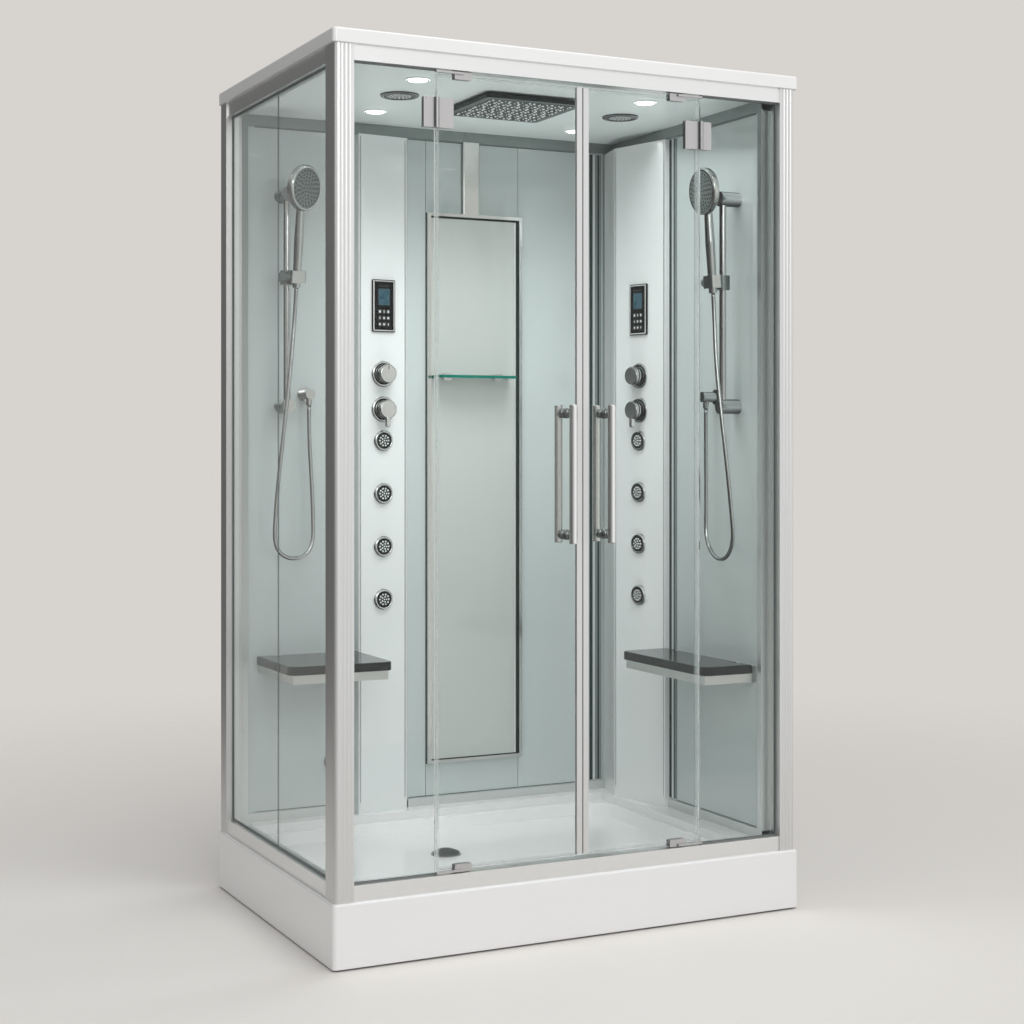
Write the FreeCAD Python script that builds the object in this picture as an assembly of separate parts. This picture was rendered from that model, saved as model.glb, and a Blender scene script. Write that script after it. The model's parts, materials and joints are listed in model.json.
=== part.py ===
import FreeCAD, Part
import math
import os

V = FreeCAD.Vector
UP = V(0, 0, 1)

# All lengths are in millimetres. X runs left to right, Y front to back and
# Z up. The origin is the centre of the footprint, on the floor.

# --- Envelope --------------------------------------------------------------
CABIN_WIDTH = 1300
CABIN_DEPTH = 900
CABIN_HEIGHT = 2190
TRAY_HEIGHT = 156
ROOF_HEIGHT = 34
FRAME_SETBACK = 6            # the frame stands this far inside the tray's edge

# --- Clearances ------------------------------------------------------------
LOOSE = 0.3                  # between pieces that move or are curved
RUNNING = 0.05               # radial play of a pin or stem in its bore
OVERCUT = 1                  # a cutter reaches this far past what it cuts

# --- Tray ------------------------------------------------------------------
TRAY_SKIN = 5
TRAY_FLOOR_GAP = 5
TRAY_CORNER = 10
TRAY_TOP_ROUND = 6
LEDGE_RISE = 24
LEDGE_DEPTH = 100            # raised ledge along the back
LEDGE_WIDTH = 145            # raised ledge along the right side
BASIN_LEFT = 100             # rim width at each side of the basin
BASIN_RIGHT = 155
BASIN_FRONT = 90
BASIN_BACK = 115
BASIN_DEPTH = 31
BASIN_DRAFT = 0.55           # run of the basin wall for each mm of depth
BASIN_CORNER = 75
DRAIN_X = -148
DRAIN_Y = 35
DRAIN_NECK = 28
DRAIN_FLANGE = 40
DRAIN_FLANGE_HEIGHT = 2
DRAIN_BORE = 24
TRAP_RADIUS = 52
TRAP_BOTTOM = 40
TRAP_PIPE = 20
TRAP_PIPE_Z = 64
TRAP_SPIGOT = 50             # length of the thicker end of the outlet pipe
TRAP_SPIGOT_STEP = 2
DRAIN_CUTOUT_WIDTH = 110     # in the skirt, behind the outlet
DRAIN_CUTOUT_TOP = 112
TRAP_WALL = 2.5
COVER_RADIUS = 36
COVER_RIM = 4
COVER_DOME = 10
COVER_SPIGOT = 20
COVER_SPIGOT_LENGTH = 22
COVER_WALL = 2

# --- Frame under the tray --------------------------------------------------
BEAM = 30
BEAM_WALL = 2
BEAM_SPREAD_Y = 250
BEAM_END_GAP = 90            # from the cabin's outline to the beams' ends
CROSS_SIDE_GAP = 130
CROSS_END_GAP = 50
FOOT_END_GAP = 80
FOOT_RADIUS = 25
FOOT_SOLE = 8
FOOT_STUD = 5
FOOT_STUD_BITE = 18
FOOT_NUT = 9
FOOT_NUT_HEIGHT = 8

# --- Posts and rails -------------------------------------------------------
POST_WIDTH = 48
FRONT_POST_DEPTH = 62
REAR_POST_DEPTH = 48
POST_CORNER = 12
EXTRUSION_WALL = 2.5
FLUTE_COUNT = 3
FLUTE_PITCH = 10
FLUTE_RADIUS = 7.3
FLUTE_DEPTH = 1.2
FLUTE_START = 17             # from the post's outer side to the first flute
RAIL_HEIGHT = 38
RAIL_DEPTH = 40
RAIL_SETBACK = 4             # behind the face of the posts

# --- Glazing ---------------------------------------------------------------
GLASS = 6
GASKET = 2
GLASS_BITE = 12              # how far a pane reaches into its slot
GASKET_PROUD = 3
GLASS_INSET = 14             # from a rail's outer face to the glass
SIDE_JOINT_Y = 15
SIDE_JOINT_GAP = 1.5

# --- Doors -----------------------------------------------------------------
LEFT_PANE_SPAN = 269         # from the cabin's side to the hinged joint
RIGHT_PANE_SPAN = 290
MEETING_X = 17
JOINT_HALF_GAP = 2           # from a joint's line to each pane's edge
DOOR_END_GAP = 10            # above and below the door glass
AXIS_OFFSET = 7              # hinge axis in front of the glass
MEETING_GAP = 3
MEETING_WIDTH = 15
MEETING_DEPTH = 12
MEETING_BITE = 10
MAGNET = 1
MAGNET_DEPTH = 8
SEAL_WALL = 1.5
LEFT_SEAL_WIDTH = 8
RIGHT_SEAL_WIDTH = 13
END_SEAL_GAP = 2
END_SEAL_BITE = 6
HINGE_SEAL_GAP = 1           # seals stop this far from a hinge
HINGE_SEAL_CUT = 20          # depth of the cut that clears a hinge

# --- Hinges ----------------------------------------------------------------
HINGE_DROP = 93              # hinge's centre below the door's top
HINGE_HEIGHT = 72
HINGE_PLATE = 4
HINGE_EDGE = 2               # leaf edge to the joint's line
FIXED_LEAF = 31
DOOR_LEAF = 43
KNUCKLE_RADIUS = 6
KNUCKLE_HALF = 17.5          # half the length of the middle knuckle
HINGE_PIN = 3
NOTCH_WIDTH = 14
NOTCH_HEIGHT = 40
PIVOT_CENTRE = 70            # pivot block's centre from the joint
PIVOT_WIDTH = 46
PIVOT_DEPTH = 18
PIVOT_GAP = 1.5
PIVOT_HEIGHT = 18.5
PIVOT_ARM_HEIGHT = 5
PIVOT_ARM_DEPTH = 8
PIVOT_ARM_GAP = 3
PIVOT_PIN_REACH = 6
PIVOT_ROUND = 4
BUSH_RADIUS = 4.4
BUSH_LENGTH = 8
HANDLE_RADIUS = 10
HANDLE_OFFSET = 37           # bar's centre from the face of the glass
HANDLE_Z0 = 977
HANDLE_Z1 = 1320
HANDLE_POST_INSET = 21
HANDLE_POST_RADIUS = 8
HANDLE_BOLT = 6
HANDLE_ROUND = 2
LEFT_HANDLE_OFFSET = 44.8    # from the line where the doors meet
RIGHT_HANDLE_OFFSET = 63.5

# --- Wall panels -----------------------------------------------------------
BACK_WALL = 50               # from the cabin's back to the panels' face
SIDE_WALL = 78               # from its right side to the panels' face
PANEL = 6
PANEL_BITE = 8
WALL_RAIL_PROUD = 6
WALL_RAIL_DEPTH = 50
SIDE_RAIL_DEPTH = 32
WALL_RAIL_Z = 205            # top of the lower rails
CEILING_DROP = 26            # ceiling's underside below the frame's top
WALL_TOP_RAIL = 30
STILE_DEPTH = 8
STILE_WIDTH = 20
LEFT_PROFILE = 17
CORNER_PROFILE_GAP = 37      # from the right panels' face
CORNER_PROFILE = 13
PANEL_JOINT = 1.5
PANEL_JOINT_B_GAP = 2        # joints between the back panels, from the mirror's sides
PANEL_JOINT_C_LAP = 7
COLUMN_LAP = 10              # panels reach this far behind a column's side
RIGHT_COLUMN_LAP = 20
SIDE_RAIL_GAP = 2            # from the side rails to the cabin's rail

# --- Service columns -------------------------------------------------------
COLUMN_WALL = 4
COLUMN_TOP_GAP = 3
# Corners, from the cabin's left side or the right panels' face, and from the back panels' face.
LEFT_COLUMN_CORNERS = ((381.5, 33), (536, 15), (544, 0))
RIGHT_COLUMN_CORNERS = ((15, 328), (62, 116), (34, WALL_RAIL_PROUD))
CONTROL_WIDTH = 72
CONTROL_HEIGHT = 147
CONTROL_Z = 1614
CONTROL_PROUD = 6
CONTROL_BOX_INSET = 6
CONTROL_BOX_DEPTH = 24
PLATE_ROUND = 2              # round edge of plates and rosettes
DIVERTER_Z = 1421
MIXER_Z = 1321
ROSETTE_RADIUS = 36
ROSETTE = 6
VALVE_NECK = 14
VALVE_RADIUS = 22
STEM_RADIUS = 8
STEM_LENGTH = 30
KNOB_RADIUS = 26
KNOB_GAP = 2
KNOB_DEPTH = 27
KNOB_ROUND = 3
LEVER_RADIUS = 5
LEVER_LENGTH = 48
JET_HEIGHTS = (1232, 1082, 932, 782)
JET_RADIUS = 29
JET_PROUD = 8
JET_ROUND = 3
JET_BODY = 19
JET_BODY_DEPTH = 30
JET_TAIL = 7

# --- Showers ---------------------------------------------------------------
LEFT_BAR_SPAN = 168          # from the cabin's left side
RIGHT_BAR_SPAN = 169         # from its front
LEFT_BAR_OFFSET = 50         # bar's centre from the wall's face
RIGHT_BAR_OFFSET = 48
BAR_RADIUS = 9.5
BAR_END = 16
BRACKET_RADIUS = 20
BRACKET_CAP = 12             # bracket's length in front of the bar's centre
LEFT_BRACKET_DROPS = (803, 220)      # below the ceiling
RIGHT_BRACKET_DROPS = (807, 250)
LEFT_SLIDER_DROP = 450
RIGHT_SLIDER_DROP = 475
SLIDER_RADIUS = 19
SLIDER_HEIGHT = 38
SLIDER_ARM = 16
SLIDER_ARM_HEIGHT = 24
PIVOT_REACH = 42             # handset's tilt axis in front of the bar
PIVOT_SIDE = 14              # and to the right of the bar
TILT_PIN = 6
TILT_PIN_LENGTH = 8
CUP_WIDTH = 44
CUP_DEPTH = 32
CUP_HEIGHT = 34
CUP_ROUND = 5
HANDLE_TAIL = 30             # handset's tail below the tilt axis
HANDSET_REACH = 271          # tail to the centre of the head
HANDSET_TAIL_RADIUS = 11
HANDSET_GRIP_RADIUS = 13
HANDSET_NECK_RADIUS = 11
HEAD_RADIUS = 62.5
HEAD_THICKNESS = 20
HEAD_ROUND = 6
HEAD_PROUD = 9               # head's middle plane in front of the handle
LEFT_LEAN = 9
RIGHT_LEAN = 4
LEFT_SWIVEL = 30
RIGHT_SWIVEL = 0
OUTLET_RADIUS = 21
OUTLET_PLATE = 6
OUTLET_BODY = 14
OUTLET_REACH = 36            # nipple's centre from the wall's face
OUTLET_STUB = 10
OUTLET_STUB_LENGTH = 22
NIPPLE_RADIUS = 8
NIPPLE_LENGTH = 31
LEFT_OUTLET_SPAN = 237       # from the cabin's left side
LEFT_OUTLET_DROP = 769       # below the ceiling
RIGHT_OUTLET_SPAN = 272      # from the cabin's front
RIGHT_OUTLET_DROP = 779
HOSE_DIAMETER = 11
HOSE_FIRST_RUN = 90          # straight down from the nipple
HOSE_LAST_RUN = 60           # in line with the handset
# Points of each hose's route between those two straight runs.
LEFT_HOSE_ROUTE = (
    (-407, 361, 1130),
    (-403.5, 358, 1032),
    (-403, 355, 941.6),
    (-437.6, 352, 907),
    (-486.4, 348, 907),
    (-521, 344, 941.6),
    (-519.5, 337, 1033),
    (-512, 328, 1145),
    (-501, 320, 1260),
    (-489, 318, 1370),
    (-478, 319, 1480),
)
RIGHT_HOSE_ROUTE = (
    (535.5, -180.5, 1125),
    (533, -184.5, 1035),
    (530, -186.5, 962.2),
    (526, -235.7, 913),
    (518, -305.3, 913),
    (511, -354.5, 962.2),
    (504, -353, 1050),
    (495, -345, 1170),
    (487.5, -328, 1310),
    (484, -308, 1450),
)

# --- Mirror and shelf ------------------------------------------------------
MIRROR_SPAN = 603            # from the cabin's left side
MIRROR_WIDTH = 302
MIRROR_BOTTOM = 301
MIRROR_DROP = 240            # below the ceiling
MIRROR_BAR = 9.5
MIRROR_PROUD = 15
MIRROR_GLASS = 4
MIRROR_GLASS_PROUD = 10
MIRROR_BITE = 3
DUCT_SPAN = 113              # from the mirror's left side
DUCT_WIDTH = 51
DUCT_PROUD = 12
SHELF_Z = 1412
SHELF_THICKNESS = 8
SHELF_DEPTH = 70
SHELF_LEFT_GAP = 3            # from the mirror's frame
SHELF_RIGHT_GAP = 33
SHELF_CORNER = 20
CLIP_WIDTH = 24
CLIP_DEPTH = 20
CLIP_WALL = 6
CLIP_INSET = 30

# --- Seats -----------------------------------------------------------------
SEAT_TOP = 640
SEAT_BOARD = 23
SEAT_BRACKET = 25
SEAT_SHEET = 3
SEAT_BRACKET_INSET = 12
SEAT_RAIL = 12
SEAT_RAIL_TOP_GAP = 6
SEAT_AXIS_OFFSET = 34        # hinge axis from the wall's face
SEAT_AXIS_DROP = 18          # hinge axis below the seat's top
SEAT_BACK_GAP = 23           # board's rear edge from the wall's face
SEAT_CORNER = 25
SEAT_ROUND = 4
SEAT_EYE = 4.5
SEAT_PIN = 2.5
SEAT_ARM_WIDTH = 10
SEAT_LUG_WIDTH = 6
SEAT_ARM_INSET = 60
RIGHT_SEAT_SPAN = 68         # from the cabin's front
RIGHT_SEAT_COLUMN_GAP = 20
RIGHT_SEAT_DEPTH = 173
LEFT_SEAT_SPAN = 234         # from the cabin's left side to the seat's centre
LEFT_SEAT_WIDTH = 288
LEFT_SEAT_DEPTH = 302

# --- Ceiling and roof ------------------------------------------------------
CEILING_SHEET = 4
ROOF_SHEET = 4
ROOF_FLANGE = 60
ROOF_CORNER = 10
ROOF_TOP_ROUND = 6
RAIN_X = 5
RAIN_Y = -60
RAIN_SIZE = 280
RAIN_CORNER = 12
RAIN_THICKNESS = 10
RAIN_GAP = 8
RAIN_SHELL = 2.5
RAIN_NECK = 11
GRILLE_RADIUS = 50
GRILLE_THICKNESS = 4
GRILLE_RIM = 8
GRILLE_BAR = 3
GRILLE_BARS = 9
FAN_X = -313
FAN_Y = -39
FAN_OPENING = 42
FAN_RADIUS = 58
FAN_HEIGHT = 42
FAN_WALL = 2
FAN_MOTOR = 18
FAN_MOTOR_HEIGHT = 14
FAN_SHAFT = 3
FAN_SHAFT_LENGTH = 20
ROTOR_RADIUS = 50
ROTOR_HUB = 12
ROTOR_HEIGHT = 14
ROTOR_BLADES = 7
ROTOR_BLADE = 2
ROTOR_PITCH = 35
SPEAKER_X = 357
SPEAKER_Y = -19
SPEAKER_BASKET = 42
SPEAKER_MAGNET = 28
SPEAKER_BASKET_HEIGHT = 22
SPEAKER_MAGNET_HEIGHT = 14
LIGHT_RADIUS = 30
LIGHT_BEZEL = 4
LIGHT_ROUND = 1.5
LIGHT_BODY = 25
LIGHT_BODY_HEIGHT = 20
LIGHTS = ((-350, -245), (-285, 200), (350, 230), (310, -235))

# --- Services --------------------------------------------------------------
PIPE_RADIUS = 7.5
PIPE_WALL = 1
ELBOW = 8.5                  # half the side of an elbow block
PIPE_GAP = 30                # pipes behind the back panels' face
MANIFOLD_OFFSET = 55         # manifold's centre behind a column's face
SUPPLY_Z = 700
STEAM_PIPE_Z = 650
RAIN_PIPE_RISE = 15          # above the ceiling's underside
GENERATOR_WIDTH = 80
GENERATOR_DEPTH = 250
GENERATOR_HEIGHT = 380
GENERATOR_SPAN = 160         # its centre in front of the back panels' face
GENERATOR_CORNER = 8
STEAM_SPAN = 330             # from the cabin's left side
STEAM_Z = 330
STEAM_RADIUS = 35
STEAM_PROUD = 12
STEAM_STUB = 9
STEAM_STUB_WALL = 3
STEAM_FACE = 1               # thickness of the cap in front of its bore
STEAM_ROUND = 3

# --- Worked out from the sizes above ---------------------------------------
HALF_WIDTH = CABIN_WIDTH / 2
HALF_DEPTH = CABIN_DEPTH / 2
LEDGE_FRONT_Y = HALF_DEPTH - LEDGE_DEPTH
LEDGE_LEFT_X = HALF_WIDTH - LEDGE_WIDTH
BEAM_REACH_X = HALF_WIDTH - BEAM_END_GAP
CROSS_SPREAD_X = HALF_WIDTH - CROSS_SIDE_GAP
CROSS_REACH_Y = HALF_DEPTH - CROSS_END_GAP
FOOT_SPREAD_Y = HALF_DEPTH - FOOT_END_GAP
FRAME_SIDE = HALF_WIDTH - FRAME_SETBACK
FRAME_END = HALF_DEPTH - FRAME_SETBACK
FRAME_Z0 = TRAY_HEIGHT
FRAME_Z1 = CABIN_HEIGHT - ROOF_HEIGHT
POST_INNER_X = FRAME_SIDE - POST_WIDTH
RAIL_FRONT_Y = -FRAME_END + RAIL_SETBACK
RAIL_BACK_Y = RAIL_FRONT_Y + RAIL_DEPTH
RAIL_SIDE_X = FRAME_SIDE - RAIL_SETBACK
RAIL_INNER_X = RAIL_SIDE_X - RAIL_DEPTH
LOWER_RAIL_Z1 = FRAME_Z0 + RAIL_HEIGHT
UPPER_RAIL_Z0 = FRAME_Z1 - RAIL_HEIGHT
FRONT_POST_Y1 = -FRAME_END + FRONT_POST_DEPTH
REAR_POST_Y0 = FRAME_END - REAR_POST_DEPTH
GLASS_Y0 = RAIL_FRONT_Y + GLASS_INSET
GLASS_Y1 = GLASS_Y0 + GLASS
GLASS_X0 = -RAIL_SIDE_X + GLASS_INSET
GLASS_X1 = GLASS_X0 + GLASS
PANE_Z0 = LOWER_RAIL_Z1 - GLASS_BITE
PANE_Z1 = UPPER_RAIL_Z0 + GLASS_BITE
DOOR_Z0 = LOWER_RAIL_Z1 + DOOR_END_GAP
DOOR_Z1 = UPPER_RAIL_Z0 - DOOR_END_GAP
AXIS_Y = GLASS_Y0 - AXIS_OFFSET
LEDGE_Z = TRAY_HEIGHT + LEDGE_RISE
BASIN_FLOOR = TRAY_HEIGHT - BASIN_DEPTH
PAN_UNDERSIDE = BASIN_FLOOR - TRAY_SKIN
BEAM_Z0 = PAN_UNDERSIDE - BEAM
CROSS_Z0 = BEAM_Z0 - BEAM
HINGE_Z = DOOR_Z1 - HINGE_DROP
LEFT_JOINT_X = LEFT_PANE_SPAN - HALF_WIDTH
RIGHT_JOINT_X = HALF_WIDTH - RIGHT_PANE_SPAN
LEFT_HANDLE_X = MEETING_X - LEFT_HANDLE_OFFSET
RIGHT_HANDLE_X = MEETING_X + RIGHT_HANDLE_OFFSET
WALL_FACE_Y = HALF_DEPTH - BACK_WALL
WALL_FACE_X = HALF_WIDTH - SIDE_WALL
CEILING_Z = FRAME_Z1 - CEILING_DROP
CORNER_PROFILE_X = WALL_FACE_X - CORNER_PROFILE_GAP
LEFT_COLUMN = tuple((x - HALF_WIDTH, WALL_FACE_Y - y) for x, y in LEFT_COLUMN_CORNERS)
RIGHT_COLUMN = tuple((WALL_FACE_X - x, WALL_FACE_Y - y) for x, y in RIGHT_COLUMN_CORNERS)
LEFT_BAR_X = LEFT_BAR_SPAN - HALF_WIDTH
RIGHT_BAR_Y = RIGHT_BAR_SPAN - HALF_DEPTH
LEFT_BRACKETS = tuple(CEILING_Z - drop for drop in LEFT_BRACKET_DROPS)
RIGHT_BRACKETS = tuple(CEILING_Z - drop for drop in RIGHT_BRACKET_DROPS)
LEFT_SLIDER_Z = CEILING_Z - LEFT_SLIDER_DROP
RIGHT_SLIDER_Z = CEILING_Z - RIGHT_SLIDER_DROP
LEFT_OUTLET_X = LEFT_OUTLET_SPAN - HALF_WIDTH
LEFT_OUTLET_Z = CEILING_Z - LEFT_OUTLET_DROP
RIGHT_OUTLET_Y = RIGHT_OUTLET_SPAN - HALF_DEPTH
RIGHT_OUTLET_Z = CEILING_Z - RIGHT_OUTLET_DROP
MIRROR_LEFT = MIRROR_SPAN - HALF_WIDTH
MIRROR_RIGHT = MIRROR_LEFT + MIRROR_WIDTH
MIRROR_TOP = CEILING_Z - MIRROR_DROP
DUCT_LEFT = MIRROR_LEFT + DUCT_SPAN
PANEL_JOINT_B = MIRROR_LEFT - PANEL_JOINT_B_GAP
PANEL_JOINT_C = MIRROR_RIGHT - PANEL_JOINT_C_LAP
RIGHT_SEAT_Y0 = RIGHT_SEAT_SPAN - HALF_DEPTH
RIGHT_SEAT_Y1 = RIGHT_COLUMN[0][1] - RIGHT_SEAT_COLUMN_GAP
RIGHT_SEAT_CENTRE = (RIGHT_SEAT_Y0 + RIGHT_SEAT_Y1) / 2
RIGHT_SEAT_WIDTH = RIGHT_SEAT_Y1 - RIGHT_SEAT_Y0
LEFT_SEAT_CENTRE = LEFT_SEAT_SPAN - HALF_WIDTH
PIPE_Y = WALL_FACE_Y + PIPE_GAP
RAIN_PIPE_Z = CEILING_Z + RAIN_PIPE_RISE
GENERATOR_CENTRE_Y = WALL_FACE_Y - GENERATOR_SPAN
STEAM_X = STEAM_SPAN - HALF_WIDTH
WALL_RAIL_Y = WALL_FACE_Y - WALL_RAIL_PROUD
WALL_RAIL_X = WALL_FACE_X - WALL_RAIL_PROUD
PANEL_Z0 = WALL_RAIL_Z - PANEL_BITE
WALL_TOP_Z = CEILING_Z - WALL_TOP_RAIL
PANEL_Z1 = WALL_TOP_Z + PANEL_BITE
COLUMN_TOP = WALL_TOP_Z - COLUMN_TOP_GAP
SEAT_AXIS_Z = SEAT_TOP - SEAT_AXIS_DROP
DRAIN_TOP = BASIN_FLOOR + DRAIN_FLANGE_HEIGHT


# --- Shape helpers ---------------------------------------------------------
def box(x0, x1, y0, y1, z0, z1):
    return Part.makeBox(x1 - x0, y1 - y0, z1 - z0, V(x0, y0, z0))


def rod(radius, start, end):
    axis = V(*end) - V(*start)
    return Part.makeCylinder(radius, axis.Length, V(*start), axis)


def cone(radius_start, radius_end, start, end):
    axis = V(*end) - V(*start)
    return Part.makeCone(radius_start, radius_end, axis.Length, V(*start), axis)


def prism(points, z0, z1):
    corners = [V(x, y, z0) for x, y in points]
    face = Part.Face(Part.makePolygon(corners + corners[:1]))
    return face.extrude(V(0, 0, z1 - z0))


def rounded_outline(x0, x1, y0, y1, radius, z):
    """A closed rectangle with round corners in the plane at height z."""
    edges = []
    half = radius * math.sqrt(0.5)
    centres = (
        (x1 - radius, y0 + radius, 1, -1),
        (x1 - radius, y1 - radius, 1, 1),
        (x0 + radius, y1 - radius, -1, 1),
        (x0 + radius, y0 + radius, -1, -1),
    )
    ends = []
    for cx, cy, sx, sy in centres:
        beside = V(cx + sx * radius, cy, z)
        beyond = V(cx, cy + sy * radius, z)
        middle = V(cx + sx * half, cy + sy * half, z)
        first, last = (beyond, beside) if sx * sy < 0 else (beside, beyond)
        ends.append((first, middle, last))
    for index, (first, middle, last) in enumerate(ends):
        edges.append(Part.Arc(first, middle, last).toShape())
        following = ends[(index + 1) % len(ends)][0]
        edges.append(Part.LineSegment(last, following).toShape())
    return Part.Wire(edges)


def rounded_block(x0, x1, y0, y1, z0, z1, radius):
    outline = rounded_outline(x0, x1, y0, y1, radius, z0)
    return Part.Face(outline).extrude(V(0, 0, z1 - z0))


def fuse(*shapes):
    joined = shapes[0]
    for shape in shapes[1:]:
        joined = joined.fuse(shape)
    return joined.removeSplitter()


def cut(shape, *tools):
    for tool in tools:
        shape = shape.cut(tool)
    return shape


def group(shapes):
    """Separate solids kept side by side in one node."""
    solids = []
    for shape in shapes:
        solids.extend(shape.Solids)
    return Part.makeCompound(solids)


def soften(shape, radius, chosen):
    """Round the edges that the test picks."""
    edges = [edge for edge in shape.Edges if chosen(edge)]
    return shape.makeFillet(radius, edges)


def level_at(z):
    def chosen(edge):
        bounds = edge.BoundBox
        return abs(bounds.ZMin - z) < 0.01 and abs(bounds.ZMax - z) < 0.01
    return chosen


def hollow_bar(x0, x1, y0, y1, z0, z1, wall, along):
    """A rectangular tube that is open at its two ends."""
    inset = {"x": (0, wall, wall), "y": (wall, 0, wall), "z": (wall, wall, 0)}[along]
    dx, dy, dz = inset
    inside = box(x0 + dx, x1 - dx, y0 + dy, y1 - dy, z0 + dz, z1 - dz)
    return box(x0, x1, y0, y1, z0, z1).cut(inside)


def mirror_x(shape):
    return shape.mirror(V(0, 0, 0), V(1, 0, 0))


class Wall:
    """A wall's own frame: u runs left to right as seen from inside the cabin,
    y is 0 on the face and negative towards the viewer, and z is up."""

    def __init__(self, x, y, degrees):
        self.placement = FreeCAD.Placement(V(x, y, 0), FreeCAD.Rotation(UP, degrees))

    def place(self, shape):
        placed = shape.copy()
        placed.Placement = self.placement.multiply(shape.Placement)
        return placed

    def point(self, u, y, z):
        return self.placement.multVec(V(u, y, z))


def column_wall(outline):
    (x0, y0), (x1, y1) = outline[0], outline[1]
    degrees = math.degrees(math.atan2(y1 - y0, x1 - x0))
    return Wall((x0 + x1) / 2, (y0 + y1) / 2, degrees)


BACK = Wall(0, WALL_FACE_Y, 0)
RIGHT = Wall(WALL_FACE_X, 0, -90)
LEFT_FACE = column_wall(LEFT_COLUMN)
RIGHT_FACE = column_wall((RIGHT_COLUMN[1], RIGHT_COLUMN[0]))


# --- Tray and what carries it ----------------------------------------------
def basin(grow, z0, z1):
    """The basin's drafted volume, made larger all round by grow."""
    sections = []
    for z in (z0, z1):
        inset = (TRAY_HEIGHT - z) * BASIN_DRAFT - grow
        sections.append(rounded_outline(
            -HALF_WIDTH + BASIN_LEFT + inset, HALF_WIDTH - BASIN_RIGHT - inset,
            -HALF_DEPTH + BASIN_FRONT + inset, HALF_DEPTH - BASIN_BACK - inset,
            BASIN_CORNER - inset, z))
    return Part.makeLoft(sections, True, True)


def shower_tray():
    deck = rounded_block(-HALF_WIDTH, HALF_WIDTH, -HALF_DEPTH, HALF_DEPTH,
                         TRAY_FLOOR_GAP, TRAY_HEIGHT, TRAY_CORNER)
    deck = soften(deck, TRAY_TOP_ROUND, level_at(TRAY_HEIGHT))
    back_ledge = box(-POST_INNER_X, RAIL_INNER_X, LEDGE_FRONT_Y, FRAME_END,
                     TRAY_HEIGHT - OVERCUT, LEDGE_Z)
    right_ledge = box(LEDGE_LEFT_X, RAIL_INNER_X, RAIL_BACK_Y, LEDGE_FRONT_Y + OVERCUT,
                      TRAY_HEIGHT - OVERCUT, LEDGE_Z)
    corner = box(POST_INNER_X, RAIL_INNER_X + OVERCUT, REAR_POST_Y0, FRAME_END + OVERCUT,
                 TRAY_HEIGHT, LEDGE_Z + OVERCUT)
    right_ledge = right_ledge.cut(box(POST_INNER_X, RAIL_INNER_X + OVERCUT, RAIL_BACK_Y - OVERCUT,
                                      FRONT_POST_Y1, TRAY_HEIGHT, LEDGE_Z + OVERCUT))
    underside = box(-HALF_WIDTH + TRAY_SKIN, HALF_WIDTH - TRAY_SKIN,
                    -HALF_DEPTH + TRAY_SKIN, HALF_DEPTH - TRAY_SKIN,
                    0, TRAY_HEIGHT - TRAY_SKIN)
    underside = underside.cut(basin(TRAY_SKIN, PAN_UNDERSIDE, TRAY_HEIGHT))
    drain = rod(DRAIN_NECK + LOOSE, (DRAIN_X, DRAIN_Y, 0), (DRAIN_X, DRAIN_Y, TRAY_HEIGHT))
    cutout = box(DRAIN_X - DRAIN_CUTOUT_WIDTH / 2, DRAIN_X + DRAIN_CUTOUT_WIDTH / 2,
                 HALF_DEPTH - TRAY_SKIN - OVERCUT, HALF_DEPTH + OVERCUT, 0, DRAIN_CUTOUT_TOP)
    tray = fuse(deck, back_ledge, right_ledge)
    return cut(tray, corner, underside, cutout, drain,
               basin(0, BASIN_FLOOR, TRAY_HEIGHT + OVERCUT))


def feet_places():
    places = [(x, y) for x in (-CROSS_SPREAD_X, 0, CROSS_SPREAD_X)
              for y in (-FOOT_SPREAD_Y, FOOT_SPREAD_Y)]
    return places + [(0, 0)]


def tray_frame():
    beams = []
    for y in (-BEAM_SPREAD_Y, BEAM_SPREAD_Y):
        beams.append(hollow_bar(-BEAM_REACH_X, BEAM_REACH_X, y - BEAM / 2, y + BEAM / 2,
                                BEAM_Z0, PAN_UNDERSIDE, BEAM_WALL, "x"))
    for x in (-CROSS_SPREAD_X, 0, CROSS_SPREAD_X):
        beams.append(hollow_bar(x - BEAM / 2, x + BEAM / 2, -CROSS_REACH_Y, CROSS_REACH_Y,
                                CROSS_Z0, BEAM_Z0, BEAM_WALL, "y"))
    holes = [rod(FOOT_STUD + LOOSE, (x, y, CROSS_Z0 - OVERCUT), (x, y, CROSS_Z0 + BEAM_WALL + OVERCUT))
             for x, y in feet_places()]
    return group(cut(beam, *holes) for beam in beams)


def levelling_feet():
    feet = []
    for x, y in feet_places():
        sole = rod(FOOT_RADIUS, (x, y, 0), (x, y, FOOT_SOLE))
        stud = rod(FOOT_STUD, (x, y, FOOT_SOLE), (x, y, CROSS_Z0 + FOOT_STUD_BITE))
        nut = rod(FOOT_NUT, (x, y, CROSS_Z0 - FOOT_NUT_HEIGHT), (x, y, CROSS_Z0))
        feet.append(fuse(sole, stud, nut))
    return group(feet)


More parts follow.
